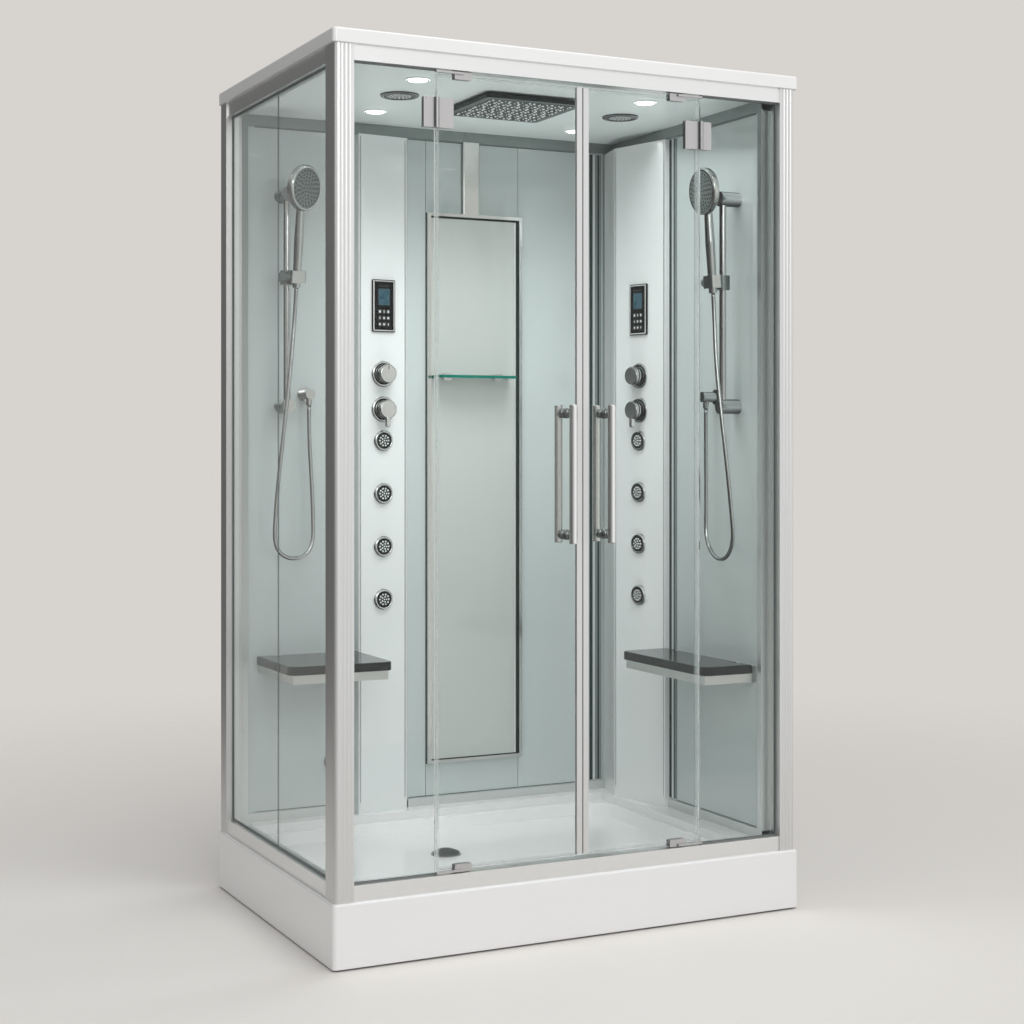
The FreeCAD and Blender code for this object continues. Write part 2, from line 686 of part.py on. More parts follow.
def drain_trap():
    x, y = DRAIN_X, DRAIN_Y
    flange = rod(DRAIN_FLANGE, (x, y, BASIN_FLOOR), (x, y, DRAIN_TOP))
    neck = rod(DRAIN_NECK, (x, y, PAN_UNDERSIDE), (x, y, DRAIN_TOP))
    cup = rod(TRAP_RADIUS, (x, y, TRAP_BOTTOM), (x, y, PAN_UNDERSIDE))
    outlet_end = HALF_DEPTH - TRAY_SKIN - LOOSE
    outlet = rod(TRAP_PIPE - TRAP_SPIGOT_STEP, (x, y, TRAP_PIPE_Z),
                 (x, outlet_end, TRAP_PIPE_Z))
    spigot = rod(TRAP_PIPE, (x, outlet_end - TRAP_SPIGOT, TRAP_PIPE_Z),
                 (x, outlet_end, TRAP_PIPE_Z))
    bore = rod(DRAIN_BORE, (x, y, TRAP_BOTTOM + TRAP_WALL), (x, y, DRAIN_TOP + OVERCUT))
    outlet_bore = rod(TRAP_PIPE - TRAP_SPIGOT_STEP - TRAP_WALL, (x, y, TRAP_PIPE_Z),
                      (x, outlet_end + OVERCUT, TRAP_PIPE_Z))
    return cut(fuse(flange, neck, cup, outlet, spigot), bore, outlet_bore)


def drain_cover():
    x, y = DRAIN_X, DRAIN_Y
    z0 = DRAIN_TOP + LOOSE
    rim = rod(COVER_RADIUS, (x, y, z0), (x, y, z0 + COVER_RIM))
    ball = (COVER_RADIUS ** 2 + COVER_DOME ** 2) / (2 * COVER_DOME)
    dome = Part.makeSphere(ball, V(x, y, z0 + COVER_RIM + COVER_DOME - ball))
    dome = dome.common(rod(COVER_RADIUS, (x, y, z0), (x, y, z0 + COVER_RIM + COVER_DOME)))
    spigot = rod(COVER_SPIGOT, (x, y, z0 - COVER_SPIGOT_LENGTH), (x, y, z0))
    hollow = rod(COVER_SPIGOT - COVER_WALL, (x, y, z0 - COVER_SPIGOT_LENGTH - OVERCUT), (x, y, z0))
    return fuse(rim, dome, spigot).cut(hollow)


# --- Posts, rails and panes ------------------------------------------------
LEFT_PANE = (-POST_INNER_X - GLASS_BITE, LEFT_JOINT_X - JOINT_HALF_GAP)
RIGHT_PANE = (RIGHT_JOINT_X + JOINT_HALF_GAP, POST_INNER_X + GLASS_BITE)
FRONT_SIDE_PANE = (FRONT_POST_Y1 - GLASS_BITE, SIDE_JOINT_Y - SIDE_JOINT_GAP / 2)
REAR_SIDE_PANE = (SIDE_JOINT_Y + SIDE_JOINT_GAP / 2, REAR_POST_Y0 + GLASS_BITE)


def front_pane(span):
    return box(span[0], span[1], GLASS_Y0, GLASS_Y1, PANE_Z0, PANE_Z1)


def side_pane(span):
    return box(GLASS_X0, GLASS_X1, span[0], span[1], PANE_Z0, PANE_Z1)


def fat_side_pane():
    return box(GLASS_X0 - GASKET, GLASS_X1 + GASKET, FRONT_SIDE_PANE[0] - GASKET,
               REAR_SIDE_PANE[1] + GASKET, PANE_Z0 - GASKET, PANE_Z1 + GASKET)


def all_slots():
    """The spaces that panes and gaskets take out of the posts and rails."""
    left = box(LEFT_PANE[0] - GASKET, LEFT_PANE[1], GLASS_Y0 - GASKET, GLASS_Y1 + GASKET,
               PANE_Z0 - GASKET, PANE_Z1 + GASKET)
    right = box(RIGHT_PANE[0], RIGHT_PANE[1] + GASKET, GLASS_Y0 - GASKET,
                GLASS_Y1 + GASKET, PANE_Z0 - GASKET, PANE_Z1 + GASKET)
    return [left, right, fat_side_pane()]


def front_post():
    """The left front post, with a round outer corner and fluted face."""
    x0, y0, y1 = -FRAME_SIDE, -FRAME_END, FRONT_POST_Y1
    x1 = -POST_INNER_X
    block = box(x0, x1, y0, y1, FRAME_Z0, FRAME_Z1)
    block = soften(block, POST_CORNER, lambda edge: edge.BoundBox.XMax < x0 + OVERCUT
                   and edge.BoundBox.YMax < y0 + OVERCUT)
    flutes = []
    for index in range(FLUTE_COUNT):
        x = x0 + FLUTE_START + index * FLUTE_PITCH
        y = y0 + FLUTE_DEPTH - FLUTE_RADIUS
        flutes.append(rod(FLUTE_RADIUS, (x, y, FRAME_Z0 - OVERCUT), (x, y, FRAME_Z1 + OVERCUT)))
    wall = EXTRUSION_WALL
    room_x1 = x1 - GLASS_BITE - GASKET - wall
    room_y1 = y1 - GLASS_BITE - GASKET - wall
    room = box(x0 + wall, room_x1, y0 + wall + FLUTE_DEPTH, room_y1,
               FRAME_Z0 - OVERCUT, FRAME_Z1 + OVERCUT)
    room = soften(room, POST_CORNER - wall, lambda edge: edge.BoundBox.XMax < x0 + wall + OVERCUT
                  and edge.BoundBox.YMax < y0 + wall + FLUTE_DEPTH + OVERCUT)
    return cut(block, room, *flutes)


def rear_post():
    wall = EXTRUSION_WALL
    x0, x1 = -FRAME_SIDE, -POST_INNER_X
    room_y0 = REAR_POST_Y0 + GLASS_BITE + GASKET + wall
    block = box(x0, x1, REAR_POST_Y0, FRAME_END, FRAME_Z0, FRAME_Z1)
    room = box(x0 + wall, x1 - wall, room_y0, FRAME_END - wall, FRAME_Z0 - OVERCUT, FRAME_Z1 + OVERCUT)
    return block.cut(room)


def corner_posts():
    left = [front_post(), rear_post()]
    posts = left + [mirror_x(post) for post in left]
    return group(cut(post, *all_slots()) for post in posts)


def rail_bar(x0, x1, y0, y1, upper, along):
    """A rail with its chamber on the side away from the glass."""
    wall = EXTRUSION_WALL
    z0, z1 = (UPPER_RAIL_Z0, FRAME_Z1) if upper else (FRAME_Z0, LOWER_RAIL_Z1)
    bite = GLASS_BITE + GASKET + wall
    room_z0 = z0 + (bite if upper else wall)
    room_z1 = z1 - (wall if upper else bite)
    if along == "x":
        room = box(x0 - OVERCUT, x1 + OVERCUT, y0 + wall, y1 - wall, room_z0, room_z1)
    else:
        room = box(x0 + wall, x1 - wall, y0 - OVERCUT, y1 + OVERCUT, room_z0, room_z1)
    return box(x0, x1, y0, y1, z0, z1).cut(room)


def bush_holes():
    holes = []
    for x in (LEFT_JOINT_X, RIGHT_JOINT_X):
        radius = BUSH_RADIUS + RUNNING
        low = LOWER_RAIL_Z1
        high = UPPER_RAIL_Z0
        holes.append(rod(radius, (x, AXIS_Y, low - BUSH_LENGTH), (x, AXIS_Y, low + OVERCUT)))
        holes.append(rod(radius, (x, AXIS_Y, high - OVERCUT), (x, AXIS_Y, high + BUSH_LENGTH)))
    return holes


def frame_rails():
    rails = []
    for upper in (False, True):
        front = rail_bar(-POST_INNER_X, POST_INNER_X, RAIL_FRONT_Y, RAIL_BACK_Y, upper, "x")
        side = rail_bar(-RAIL_SIDE_X, -RAIL_INNER_X, FRONT_POST_Y1, REAR_POST_Y0, upper, "y")
        rails.append(cut(front, *all_slots(), *bush_holes()))
        rails.append(cut(side, *all_slots()))
        rails.append(mirror_x(side))
    return group(rails)


def hinge_notch(joint_x, side):
    """The notch that a leaf's core fills in the edge of a pane."""
    edge = joint_x + side * JOINT_HALF_GAP
    far = edge + side * NOTCH_WIDTH
    return box(min(edge, far), max(edge, far), GLASS_Y0, GLASS_Y1,
               HINGE_Z - NOTCH_HEIGHT / 2, HINGE_Z + NOTCH_HEIGHT / 2)


def front_fixed_panes():
    left = front_pane(LEFT_PANE).cut(hinge_notch(LEFT_JOINT_X, -1))
    right = front_pane(RIGHT_PANE).cut(hinge_notch(RIGHT_JOINT_X, 1))
    return group([left, right])


def side_panes():
    return group([side_pane(FRONT_SIDE_PANE), side_pane(REAR_SIDE_PANE)])


def glazing_gaskets():
    """A channel of rubber round each pane's held edges, and the side joint's strip."""
    proud = GASKET_PROUD
    z0, z1 = LOWER_RAIL_Z1 + proud, UPPER_RAIL_Z0 - proud
    left, right = LEFT_PANE, RIGHT_PANE
    window_left = box(-POST_INNER_X + proud, left[1] + OVERCUT, RAIL_FRONT_Y, RAIL_BACK_Y, z0, z1)
    window_right = box(right[0] - OVERCUT, POST_INNER_X - proud, RAIL_FRONT_Y, RAIL_BACK_Y, z0, z1)
    window_side = box(-RAIL_SIDE_X, -RAIL_INNER_X, FRONT_POST_Y1 + proud,
                      REAR_POST_Y0 - proud, z0, z1)
    slots = all_slots()
    side_glass = side_pane((FRONT_SIDE_PANE[0], REAR_SIDE_PANE[1]))
    joint = box(GLASS_X0, GLASS_X1, FRONT_SIDE_PANE[1], REAR_SIDE_PANE[0], PANE_Z0, PANE_Z1)
    return group([
        cut(slots[0], front_pane(left), window_left),
        cut(slots[1], front_pane(right), window_right),
        cut(slots[2], side_glass, window_side),
        joint,
    ])


# --- Doors -----------------------------------------------------------------
class Door:
    """One door: its joint line, and side = 1 if it lies to the right of it."""

    def __init__(self, joint_x, side, seal_width, handle_x):
        self.joint_x = joint_x
        self.side = side
        self.seal_width = seal_width
        self.handle_x = handle_x

    def x(self, distance):
        """A place at this distance from the joint, on the door's side."""
        return self.joint_x + self.side * distance

    def bar(self, near, far, y0, y1, z0, z1):
        """A box between two distances from the joint."""
        xs = sorted((self.x(near), self.x(far)))
        return box(xs[0], xs[1], y0, y1, z0, z1)

    def width(self):
        """From the joint to the outer face of the door's meeting profile."""
        return abs(MEETING_X - self.joint_x) - MEETING_GAP / 2


LEFT_DOOR = Door(LEFT_JOINT_X, 1, LEFT_SEAL_WIDTH, LEFT_HANDLE_X)
RIGHT_DOOR = Door(RIGHT_JOINT_X, -1, RIGHT_SEAL_WIDTH, RIGHT_HANDLE_X)


def door_sheet(door):
    edge = door.width() - MEETING_WIDTH + MEETING_BITE
    return door.bar(JOINT_HALF_GAP, edge, GLASS_Y0, GLASS_Y1, DOOR_Z0, DOOR_Z1)


def handle_bolts(door, radius):
    bolts = []
    for z in (HANDLE_Z0 + HANDLE_POST_INSET, HANDLE_Z1 - HANDLE_POST_INSET):
        bolts.append(rod(radius, (door.handle_x, GLASS_Y0 - OVERCUT, z),
                         (door.handle_x, GLASS_Y1 + OVERCUT, z)))
    return bolts


def door_glass(door):
    notch = hinge_notch(door.joint_x, door.side)
    return cut(door_sheet(door), notch, *handle_bolts(door, HANDLE_BOLT + LOOSE))


def meeting_profile(door):
    outer = door.width()
    middle = (GLASS_Y0 + GLASS_Y1) / 2
    bar = door.bar(outer - MEETING_WIDTH, outer, middle - MEETING_DEPTH / 2,
                   middle + MEETING_DEPTH / 2, DOOR_Z0, DOOR_Z1)
    return bar.cut(door_sheet(door))


def door_handle(door):
    x = door.handle_x
    shapes = []
    for face, out in ((GLASS_Y0, -1), (GLASS_Y1, 1)):
        y = face + out * HANDLE_OFFSET
        bar = rod(HANDLE_RADIUS, (x, y, HANDLE_Z0), (x, y, HANDLE_Z1))
        shapes.append(soften(bar, HANDLE_ROUND, lambda edge: len(edge.Vertexes) == 1))
        for z in (HANDLE_Z0 + HANDLE_POST_INSET, HANDLE_Z1 - HANDLE_POST_INSET):
            shapes.append(rod(HANDLE_POST_RADIUS, (x, face, z), (x, y, z)))
    return fuse(*shapes, *handle_bolts(door, HANDLE_BOLT))


def hinge_seal_zone(door):
    """Where the hinge interrupts the seal beside it."""
    reach = HINGE_HEIGHT / 2 + HINGE_SEAL_GAP
    return door.bar(-FIXED_LEAF, DOOR_LEAF, AXIS_Y - HINGE_SEAL_CUT, GLASS_Y1 + HINGE_SEAL_CUT,
                    HINGE_Z - reach, HINGE_Z + reach)


def door_seals(door):
    """Clear seals on three edges of the door and the magnet strip."""
    y0, y1 = GLASS_Y0 - SEAL_WALL, GLASS_Y1 + SEAL_WALL
    sheet = door_sheet(door)
    near = JOINT_HALF_GAP - SEAL_WALL + LOOSE
    hinge_side = door.bar(near, near + door.seal_width, y0, y1, DOOR_Z0, DOOR_Z1)
    strips = [cut(hinge_side, sheet, hinge_seal_zone(door))]
    far = door.width() - MEETING_WIDTH - LOOSE
    for top in (False, True):
        if top:
            z0, z1 = DOOR_Z1 - END_SEAL_BITE, UPPER_RAIL_Z0 - END_SEAL_GAP
        else:
            z0, z1 = LOWER_RAIL_Z1 + END_SEAL_GAP, DOOR_Z0 + END_SEAL_BITE
        strip = door.bar(near + door.seal_width, far, y0, y1, z0, z1)
        block = door.bar(PIVOT_CENTRE - PIVOT_WIDTH / 2, PIVOT_CENTRE + PIVOT_WIDTH / 2,
                         y0 - HINGE_SEAL_CUT, y1 + HINGE_SEAL_CUT, z0 - OVERCUT, z1 + OVERCUT)
        strips.append(cut(strip, sheet, block))
    middle = (GLASS_Y0 + GLASS_Y1) / 2
    strips.append(door.bar(door.width(), door.width() + MAGNET, middle - MAGNET_DEPTH / 2,
                           middle + MAGNET_DEPTH / 2, DOOR_Z0, DOOR_Z1))
    return group(strips)


def hinge_plates(door, near, far):
    """The plates of a leaf on both faces of the glass, joined through its notch."""
    z0, z1 = HINGE_Z - HINGE_HEIGHT / 2, HINGE_Z + HINGE_HEIGHT / 2
    outer = door.bar(near, far, GLASS_Y0 - HINGE_PLATE, GLASS_Y0, z0, z1)
    inner = door.bar(near, far, GLASS_Y1, GLASS_Y1 + HINGE_PLATE, z0, z1)
    sign = 1 if far > near else -1
    half = NOTCH_HEIGHT / 2 - LOOSE
    core = door.bar(near, near + sign * (NOTCH_WIDTH - LOOSE), GLASS_Y0, GLASS_Y1,
                    HINGE_Z - half, HINGE_Z + half)
    return fuse(outer, inner, core)


def knuckle(door, radius, z0, z1):
    return rod(radius, (door.joint_x, AXIS_Y, z0), (door.joint_x, AXIS_Y, z1))


def fixed_leaf(door):
    half = HINGE_HEIGHT / 2
    plates = hinge_plates(door, -HINGE_EDGE, -HINGE_EDGE - FIXED_LEAF)
    middle = knuckle(door, KNUCKLE_RADIUS + LOOSE, HINGE_Z - KNUCKLE_HALF - LOOSE,
                     HINGE_Z + KNUCKLE_HALF + LOOSE)
    low = knuckle(door, KNUCKLE_RADIUS, HINGE_Z - half, HINGE_Z - KNUCKLE_HALF - LOOSE)
    high = knuckle(door, KNUCKLE_RADIUS, HINGE_Z + KNUCKLE_HALF + LOOSE, HINGE_Z + half)
    pin = knuckle(door, HINGE_PIN, HINGE_Z - half, HINGE_Z + half)
    return fuse(plates.cut(middle), low, high, pin)


def door_leaf(door):
    half = HINGE_HEIGHT / 2
    plates = hinge_plates(door, HINGE_EDGE, HINGE_EDGE + DOOR_LEAF)
    reach = KNUCKLE_RADIUS + LOOSE
    low = knuckle(door, reach, HINGE_Z - half - OVERCUT, HINGE_Z - KNUCKLE_HALF)
    high = knuckle(door, reach, HINGE_Z + KNUCKLE_HALF, HINGE_Z + half + OVERCUT)
    middle = knuckle(door, KNUCKLE_RADIUS, HINGE_Z - KNUCKLE_HALF, HINGE_Z + KNUCKLE_HALF)
    bore = knuckle(door, HINGE_PIN + RUNNING, HINGE_Z - half, HINGE_Z + half)
    return cut(fuse(cut(plates, low, high), middle), bore)


def pivot_block(door, top):
    """The clamp at a corner of the glass, with its arm and pin to the rail."""
    sign = 1 if top else -1
    rail = UPPER_RAIL_Z0 if top else LOWER_RAIL_Z1

    def heights(gap, height):
        return sorted((rail - sign * gap, rail - sign * (gap + height)))

    y0 = (GLASS_Y0 + GLASS_Y1) / 2 - PIVOT_DEPTH / 2
    block = door.bar(PIVOT_CENTRE - PIVOT_WIDTH / 2, PIVOT_CENTRE + PIVOT_WIDTH / 2,
                     y0, y0 + PIVOT_DEPTH, *heights(PIVOT_GAP, PIVOT_HEIGHT))
    block = soften(block, PIVOT_ROUND, lambda edge: edge.BoundBox.XLength < 0.01
                   and edge.BoundBox.ZLength < 0.01)
    arm_z0, arm_z1 = heights(PIVOT_ARM_GAP, PIVOT_ARM_HEIGHT)
    arm = door.bar(0, PIVOT_CENTRE, AXIS_Y - PIVOT_ARM_DEPTH / 2,
                   AXIS_Y + PIVOT_ARM_DEPTH / 2, arm_z0, arm_z1)
    eye = knuckle(door, PIVOT_ARM_DEPTH / 2, arm_z0, arm_z1)
    pin_z0, pin_z1 = sorted((rail - sign * PIVOT_ARM_GAP, rail + sign * PIVOT_PIN_REACH))
    pin = knuckle(door, HINGE_PIN, pin_z0, pin_z1)
    return fuse(block.cut(door_sheet(door)), arm, eye, pin)


def bush(door, top):
    sign = 1 if top else -1
    rail = UPPER_RAIL_Z0 if top else LOWER_RAIL_Z1
    z0, z1 = sorted((rail, rail + sign * BUSH_LENGTH))
    return knuckle(door, BUSH_RADIUS, z0, z1).cut(
        knuckle(door, HINGE_PIN + RUNNING, z0 - OVERCUT, z1 + OVERCUT))


def door_hinges(door):
    return group([door_leaf(door), pivot_block(door, False), pivot_block(door, True)])


def fixed_hinges():
    shapes = []
    for door in (LEFT_DOOR, RIGHT_DOOR):
        shapes += [fixed_leaf(door), bush(door, False), bush(door, True)]
    return group(shapes)


# --- Wall panels and their frames ------------------------------------------
def back_panel(x0, x1):
    return box(x0, x1, WALL_FACE_Y, WALL_FACE_Y + PANEL, PANEL_Z0, PANEL_Z1)


def back_panel_spans():
    gap = PANEL_JOINT / 2
    return [
        (-POST_INNER_X + LEFT_PROFILE - PANEL_BITE, LEFT_COLUMN[0][0] + COLUMN_LAP),
        (LEFT_COLUMN[1][0] - COLUMN_LAP, PANEL_JOINT_B - gap),
        (PANEL_JOINT_B + gap, PANEL_JOINT_C - gap),
        (PANEL_JOINT_C + gap, CORNER_PROFILE_X + PANEL_BITE),
    ]


def right_panel():
    return box(WALL_FACE_X, WALL_FACE_X + PANEL, RAIL_BACK_Y + LEFT_PROFILE - PANEL_BITE,
               RIGHT_COLUMN[0][1] + RIGHT_COLUMN_LAP, PANEL_Z0, PANEL_Z1)


def wall_bores():
    """Holes in the panels for the outlets' stubs and the steam outlet."""
    reach = OUTLET_STUB + LOOSE
    holes = [
        BACK.place(rod(reach, (LEFT_OUTLET_X, -1, LEFT_OUTLET_Z),
                       (LEFT_OUTLET_X, PANEL + OVERCUT, LEFT_OUTLET_Z))),
        RIGHT.place(rod(reach, (-RIGHT_OUTLET_Y, -1, RIGHT_OUTLET_Z),
                        (-RIGHT_OUTLET_Y, PANEL + OVERCUT, RIGHT_OUTLET_Z))),
        BACK.place(rod(STEAM_STUB + LOOSE, (STEAM_X, -1, STEAM_Z),
                       (STEAM_X, PANEL + OVERCUT, STEAM_Z))),
    ]
    return holes


def back_wall_panels():
    return group(cut(back_panel(*span), *wall_bores()) for span in back_panel_spans())


def side_wall_panels():
    return group([cut(right_panel(), *wall_bores())])


def back_wall_frame():
    y0, y1 = WALL_RAIL_Y, WALL_RAIL_Y + WALL_RAIL_DEPTH
    wall = EXTRUSION_WALL
    left_end = LEFT_COLUMN[0][0] - LOOSE
    right_start = LEFT_COLUMN[2][0] + LOOSE
    slots = [back_panel(*span) for span in back_panel_spans()]
    bars = [
        hollow_bar(-POST_INNER_X, POST_INNER_X, y0, y1, WALL_TOP_Z, FRAME_Z1, wall, "x"),
        hollow_bar(-POST_INNER_X, left_end, y0, y1, LEDGE_Z, WALL_RAIL_Z, wall, "x"),
        hollow_bar(right_start, POST_INNER_X, y0, y1, LEDGE_Z, WALL_RAIL_Z, wall, "x"),
        box(-POST_INNER_X, -POST_INNER_X + LEFT_PROFILE, y0, y0 + SIDE_RAIL_DEPTH / 2,
            WALL_RAIL_Z, WALL_TOP_Z),
        box(CORNER_PROFILE_X, CORNER_PROFILE_X + CORNER_PROFILE, y0,
            y0 + SIDE_RAIL_DEPTH / 2, WALL_RAIL_Z, WALL_TOP_Z),
    ]
    stile_y = WALL_FACE_Y + PANEL
    edges = back_panel_spans()
    stiles = [edges[0][1] - STILE_WIDTH, edges[1][0],
              PANEL_JOINT_B - STILE_WIDTH / 2, PANEL_JOINT_C - STILE_WIDTH / 2]
    for x in stiles:
        bars.append(box(x, x + STILE_WIDTH, stile_y, stile_y + STILE_DEPTH,
                        WALL_RAIL_Z, WALL_TOP_Z))
    return group(cut(bar, *slots, *rain_pipe_rooms()) for bar in bars)


def side_wall_frame():
    x0, x1 = WALL_RAIL_X, RAIL_INNER_X - SIDE_RAIL_GAP
    wall = EXTRUSION_WALL
    front = RAIL_BACK_Y
    column_y = RIGHT_COLUMN[0][1] - LOOSE
    stile_y1 = RIGHT_COLUMN[0][1] + RIGHT_COLUMN_LAP
    bars = [
        hollow_bar(x0, x1, front, column_y, LEDGE_Z, WALL_RAIL_Z, wall, "y"),
        hollow_bar(x0, x1, front, WALL_RAIL_Y, WALL_TOP_Z, CEILING_Z, wall, "y"),
        box(x0, x1, front, front + LEFT_PROFILE, WALL_RAIL_Z, WALL_TOP_Z),
        box(WALL_FACE_X + PANEL, x1, stile_y1 - STILE_WIDTH, stile_y1,
            WALL_RAIL_Z, WALL_TOP_Z),
    ]
    post = box(POST_INNER_X, FRAME_SIDE, -FRAME_END, FRONT_POST_Y1, FRAME_Z0, FRAME_Z1)
    return group(cut(bar, right_panel(), post) for bar in bars)


# --- Service columns -------------------------------------------------------
def offset_line(points, distance):
    """A run of straight lines moved to its left by distance."""
    lines = []
    for (x0, y0), (x1, y1) in zip(points, points[1:]):
        length = math.hypot(x1 - x0, y1 - y0)
        shift_x = -(y1 - y0) / length * distance
        shift_y = (x1 - x0) / length * distance
        lines.append((x0 + shift_x, y0 + shift_y, x1 - x0, y1 - y0))
    moved = [lines[0][:2]]
    for (ax, ay, adx, ady), (bx, by, bdx, bdy) in zip(lines, lines[1:]):
        along = ((bx - ax) * bdy - (by - ay) * bdx) / (adx * bdy - ady * bdx)
        moved.append((ax + along * adx, ay + along * ady))
    x, y, dx, dy = lines[-1]
    moved.append((x + dx, y + dy))
    return moved


def column(points, limit_x, limit_y):
    """A folded cover, open towards the wall, with a cap on its top."""
    inner = offset_line(points, COLUMN_WALL)
    room = box(-HALF_WIDTH, limit_x, -HALF_DEPTH, limit_y, LEDGE_Z, COLUMN_TOP)
    band = prism(list(points) + inner[::-1], LEDGE_Z, COLUMN_TOP).common(room)
    cap_points = list(points)
    if limit_x < HALF_WIDTH:
        cap_points.append((limit_x, limit_y))
    cap = prism(cap_points, COLUMN_TOP - COLUMN_WALL, COLUMN_TOP).common(room)
    return fuse(band, cap)


def face_holes(wall):
    """Openings in a column's face for its fittings."""
    through = COLUMN_WALL + OVERCUT
    holes = []
    for z in (DIVERTER_Z, MIXER_Z):
        holes.append(rod(VALVE_NECK + LOOSE, (0, -1, z), (0, through, z)))
    for z in JET_HEIGHTS:
        holes.append(rod(JET_BODY + LOOSE, (0, -1, z), (0, through, z)))
    half_width = CONTROL_WIDTH / 2 - CONTROL_BOX_INSET + LOOSE
    half_height = CONTROL_HEIGHT / 2 - CONTROL_BOX_INSET + LOOSE
    holes.append(box(-half_width, half_width, -1, through,
                     CONTROL_Z - half_height, CONTROL_Z + half_height))
    return [wall.place(hole) for hole in holes]


def left_column():
    start = (LEFT_COLUMN[0][0], WALL_FACE_Y)
    shape = column((start,) + LEFT_COLUMN, HALF_WIDTH, WALL_FACE_Y)
    return cut(shape, *face_holes(LEFT_FACE))


def right_column():
    end = (WALL_FACE_X, RIGHT_COLUMN[0][1])
    points = RIGHT_COLUMN[::-1] + (end,)
    shape = column(points, WALL_FACE_X, RIGHT_COLUMN[2][1])
    return cut(shape, *face_holes(RIGHT_FACE))


def on_both_columns(make):
    return group(wall.place(make()) for wall in (LEFT_FACE, RIGHT_FACE))


def control_panel():
    half_width, half_height = CONTROL_WIDTH / 2, CONTROL_HEIGHT / 2
    plate = box(-half_width, half_width, -CONTROL_PROUD, 0,
                CONTROL_Z - half_height, CONTROL_Z + half_height)
    plate = soften(plate, PLATE_ROUND, lambda edge: edge.BoundBox.YMax < -CONTROL_PROUD + 0.01)
    inset = CONTROL_BOX_INSET
    body = box(-half_width + inset, half_width - inset, 0, CONTROL_BOX_DEPTH,
               CONTROL_Z - half_height + inset, CONTROL_Z + half_height - inset)
    return fuse(plate, body)


def fitting_end():
    """Depth at which fittings meet the manifold."""
    return MANIFOLD_OFFSET - PIPE_RADIUS - LOOSE


def front_rim(y):
    def chosen(edge):
        bounds = edge.BoundBox
        return bounds.YMax < y + 0.01 and len(edge.Vertexes) == 1
    return chosen


def valve_body(z):
    rosette = rod(ROSETTE_RADIUS, (0, -ROSETTE, z), (0, 0, z))
    rosette = soften(rosette, PLATE_ROUND, front_rim(-ROSETTE))
    neck = rod(VALVE_NECK, (0, 0, z), (0, COLUMN_WALL, z))
    body = rod(VALVE_RADIUS, (0, COLUMN_WALL, z), (0, fitting_end(), z))
    bore = rod(STEM_RADIUS + RUNNING, (0, -ROSETTE - OVERCUT, z),
               (0, STEM_LENGTH - ROSETTE - KNOB_GAP + OVERCUT, z))
    return fuse(rosette, neck, body).cut(bore)


def valve_bodies():
    return group(wall.place(valve_body(z)) for wall in (LEFT_FACE, RIGHT_FACE)
                 for z in (DIVERTER_Z, MIXER_Z))


def knob_shape(z, with_lever):
    back = -ROSETTE - KNOB_GAP
    disc = rod(KNOB_RADIUS, (0, back, z), (0, back - KNOB_DEPTH, z))
    disc = soften(disc, KNOB_ROUND, front_rim(back - KNOB_DEPTH))
    stem = rod(STEM_RADIUS, (0, back, z), (0, back + STEM_LENGTH, z))
    if not with_lever:
        return fuse(disc, stem)
    middle = back - KNOB_DEPTH / 2
    lever = rod(LEVER_RADIUS, (0, middle, z), (0, middle, z - LEVER_LENGTH))
    tip = Part.makeSphere(LEVER_RADIUS, V(0, middle, z - LEVER_LENGTH))
    return fuse(disc, stem, lever, tip)


def body_jet(z):
    flange = rod(JET_RADIUS, (0, -JET_PROUD, z), (0, 0, z))
    flange = soften(flange, JET_ROUND, front_rim(-JET_PROUD))
    body = rod(JET_BODY, (0, 0, z), (0, JET_BODY_DEPTH, z))
    tail = rod(JET_TAIL, (0, JET_BODY_DEPTH, z), (0, fitting_end(), z))
    return fuse(flange, body, tail)


def body_jets():
    return group(wall.place(body_jet(z)) for wall in (LEFT_FACE, RIGHT_FACE)
                 for z in JET_HEIGHTS)


# --- Mirror and shelf ------------------------------------------------------
def mirror_glass():
    reach = MIRROR_BAR - MIRROR_BITE
    y1 = WALL_FACE_Y - MIRROR_GLASS_PROUD + MIRROR_GLASS
    return box(MIRROR_LEFT + reach, MIRROR_RIGHT - reach, y1 - MIRROR_GLASS, y1,
               MIRROR_BOTTOM + reach, MIRROR_TOP - reach)


def shelf_box(grow, grow_z):
    x0 = MIRROR_LEFT + MIRROR_BAR + SHELF_LEFT_GAP
    x1 = MIRROR_RIGHT - MIRROR_BAR - SHELF_RIGHT_GAP
    back = WALL_FACE_Y - MIRROR_GLASS_PROUD - LOOSE
    return (x0, x1, back - SHELF_DEPTH, back + grow,
            SHELF_Z - grow_z, SHELF_Z + SHELF_THICKNESS + grow_z)


def glass_shelf():
    block = box(*shelf_box(0, 0))
    front = shelf_box(0, 0)[2]
    return soften(block, SHELF_CORNER, lambda edge: edge.BoundBox.YMax < front + 0.01
                  and edge.BoundBox.XLength < 0.01)


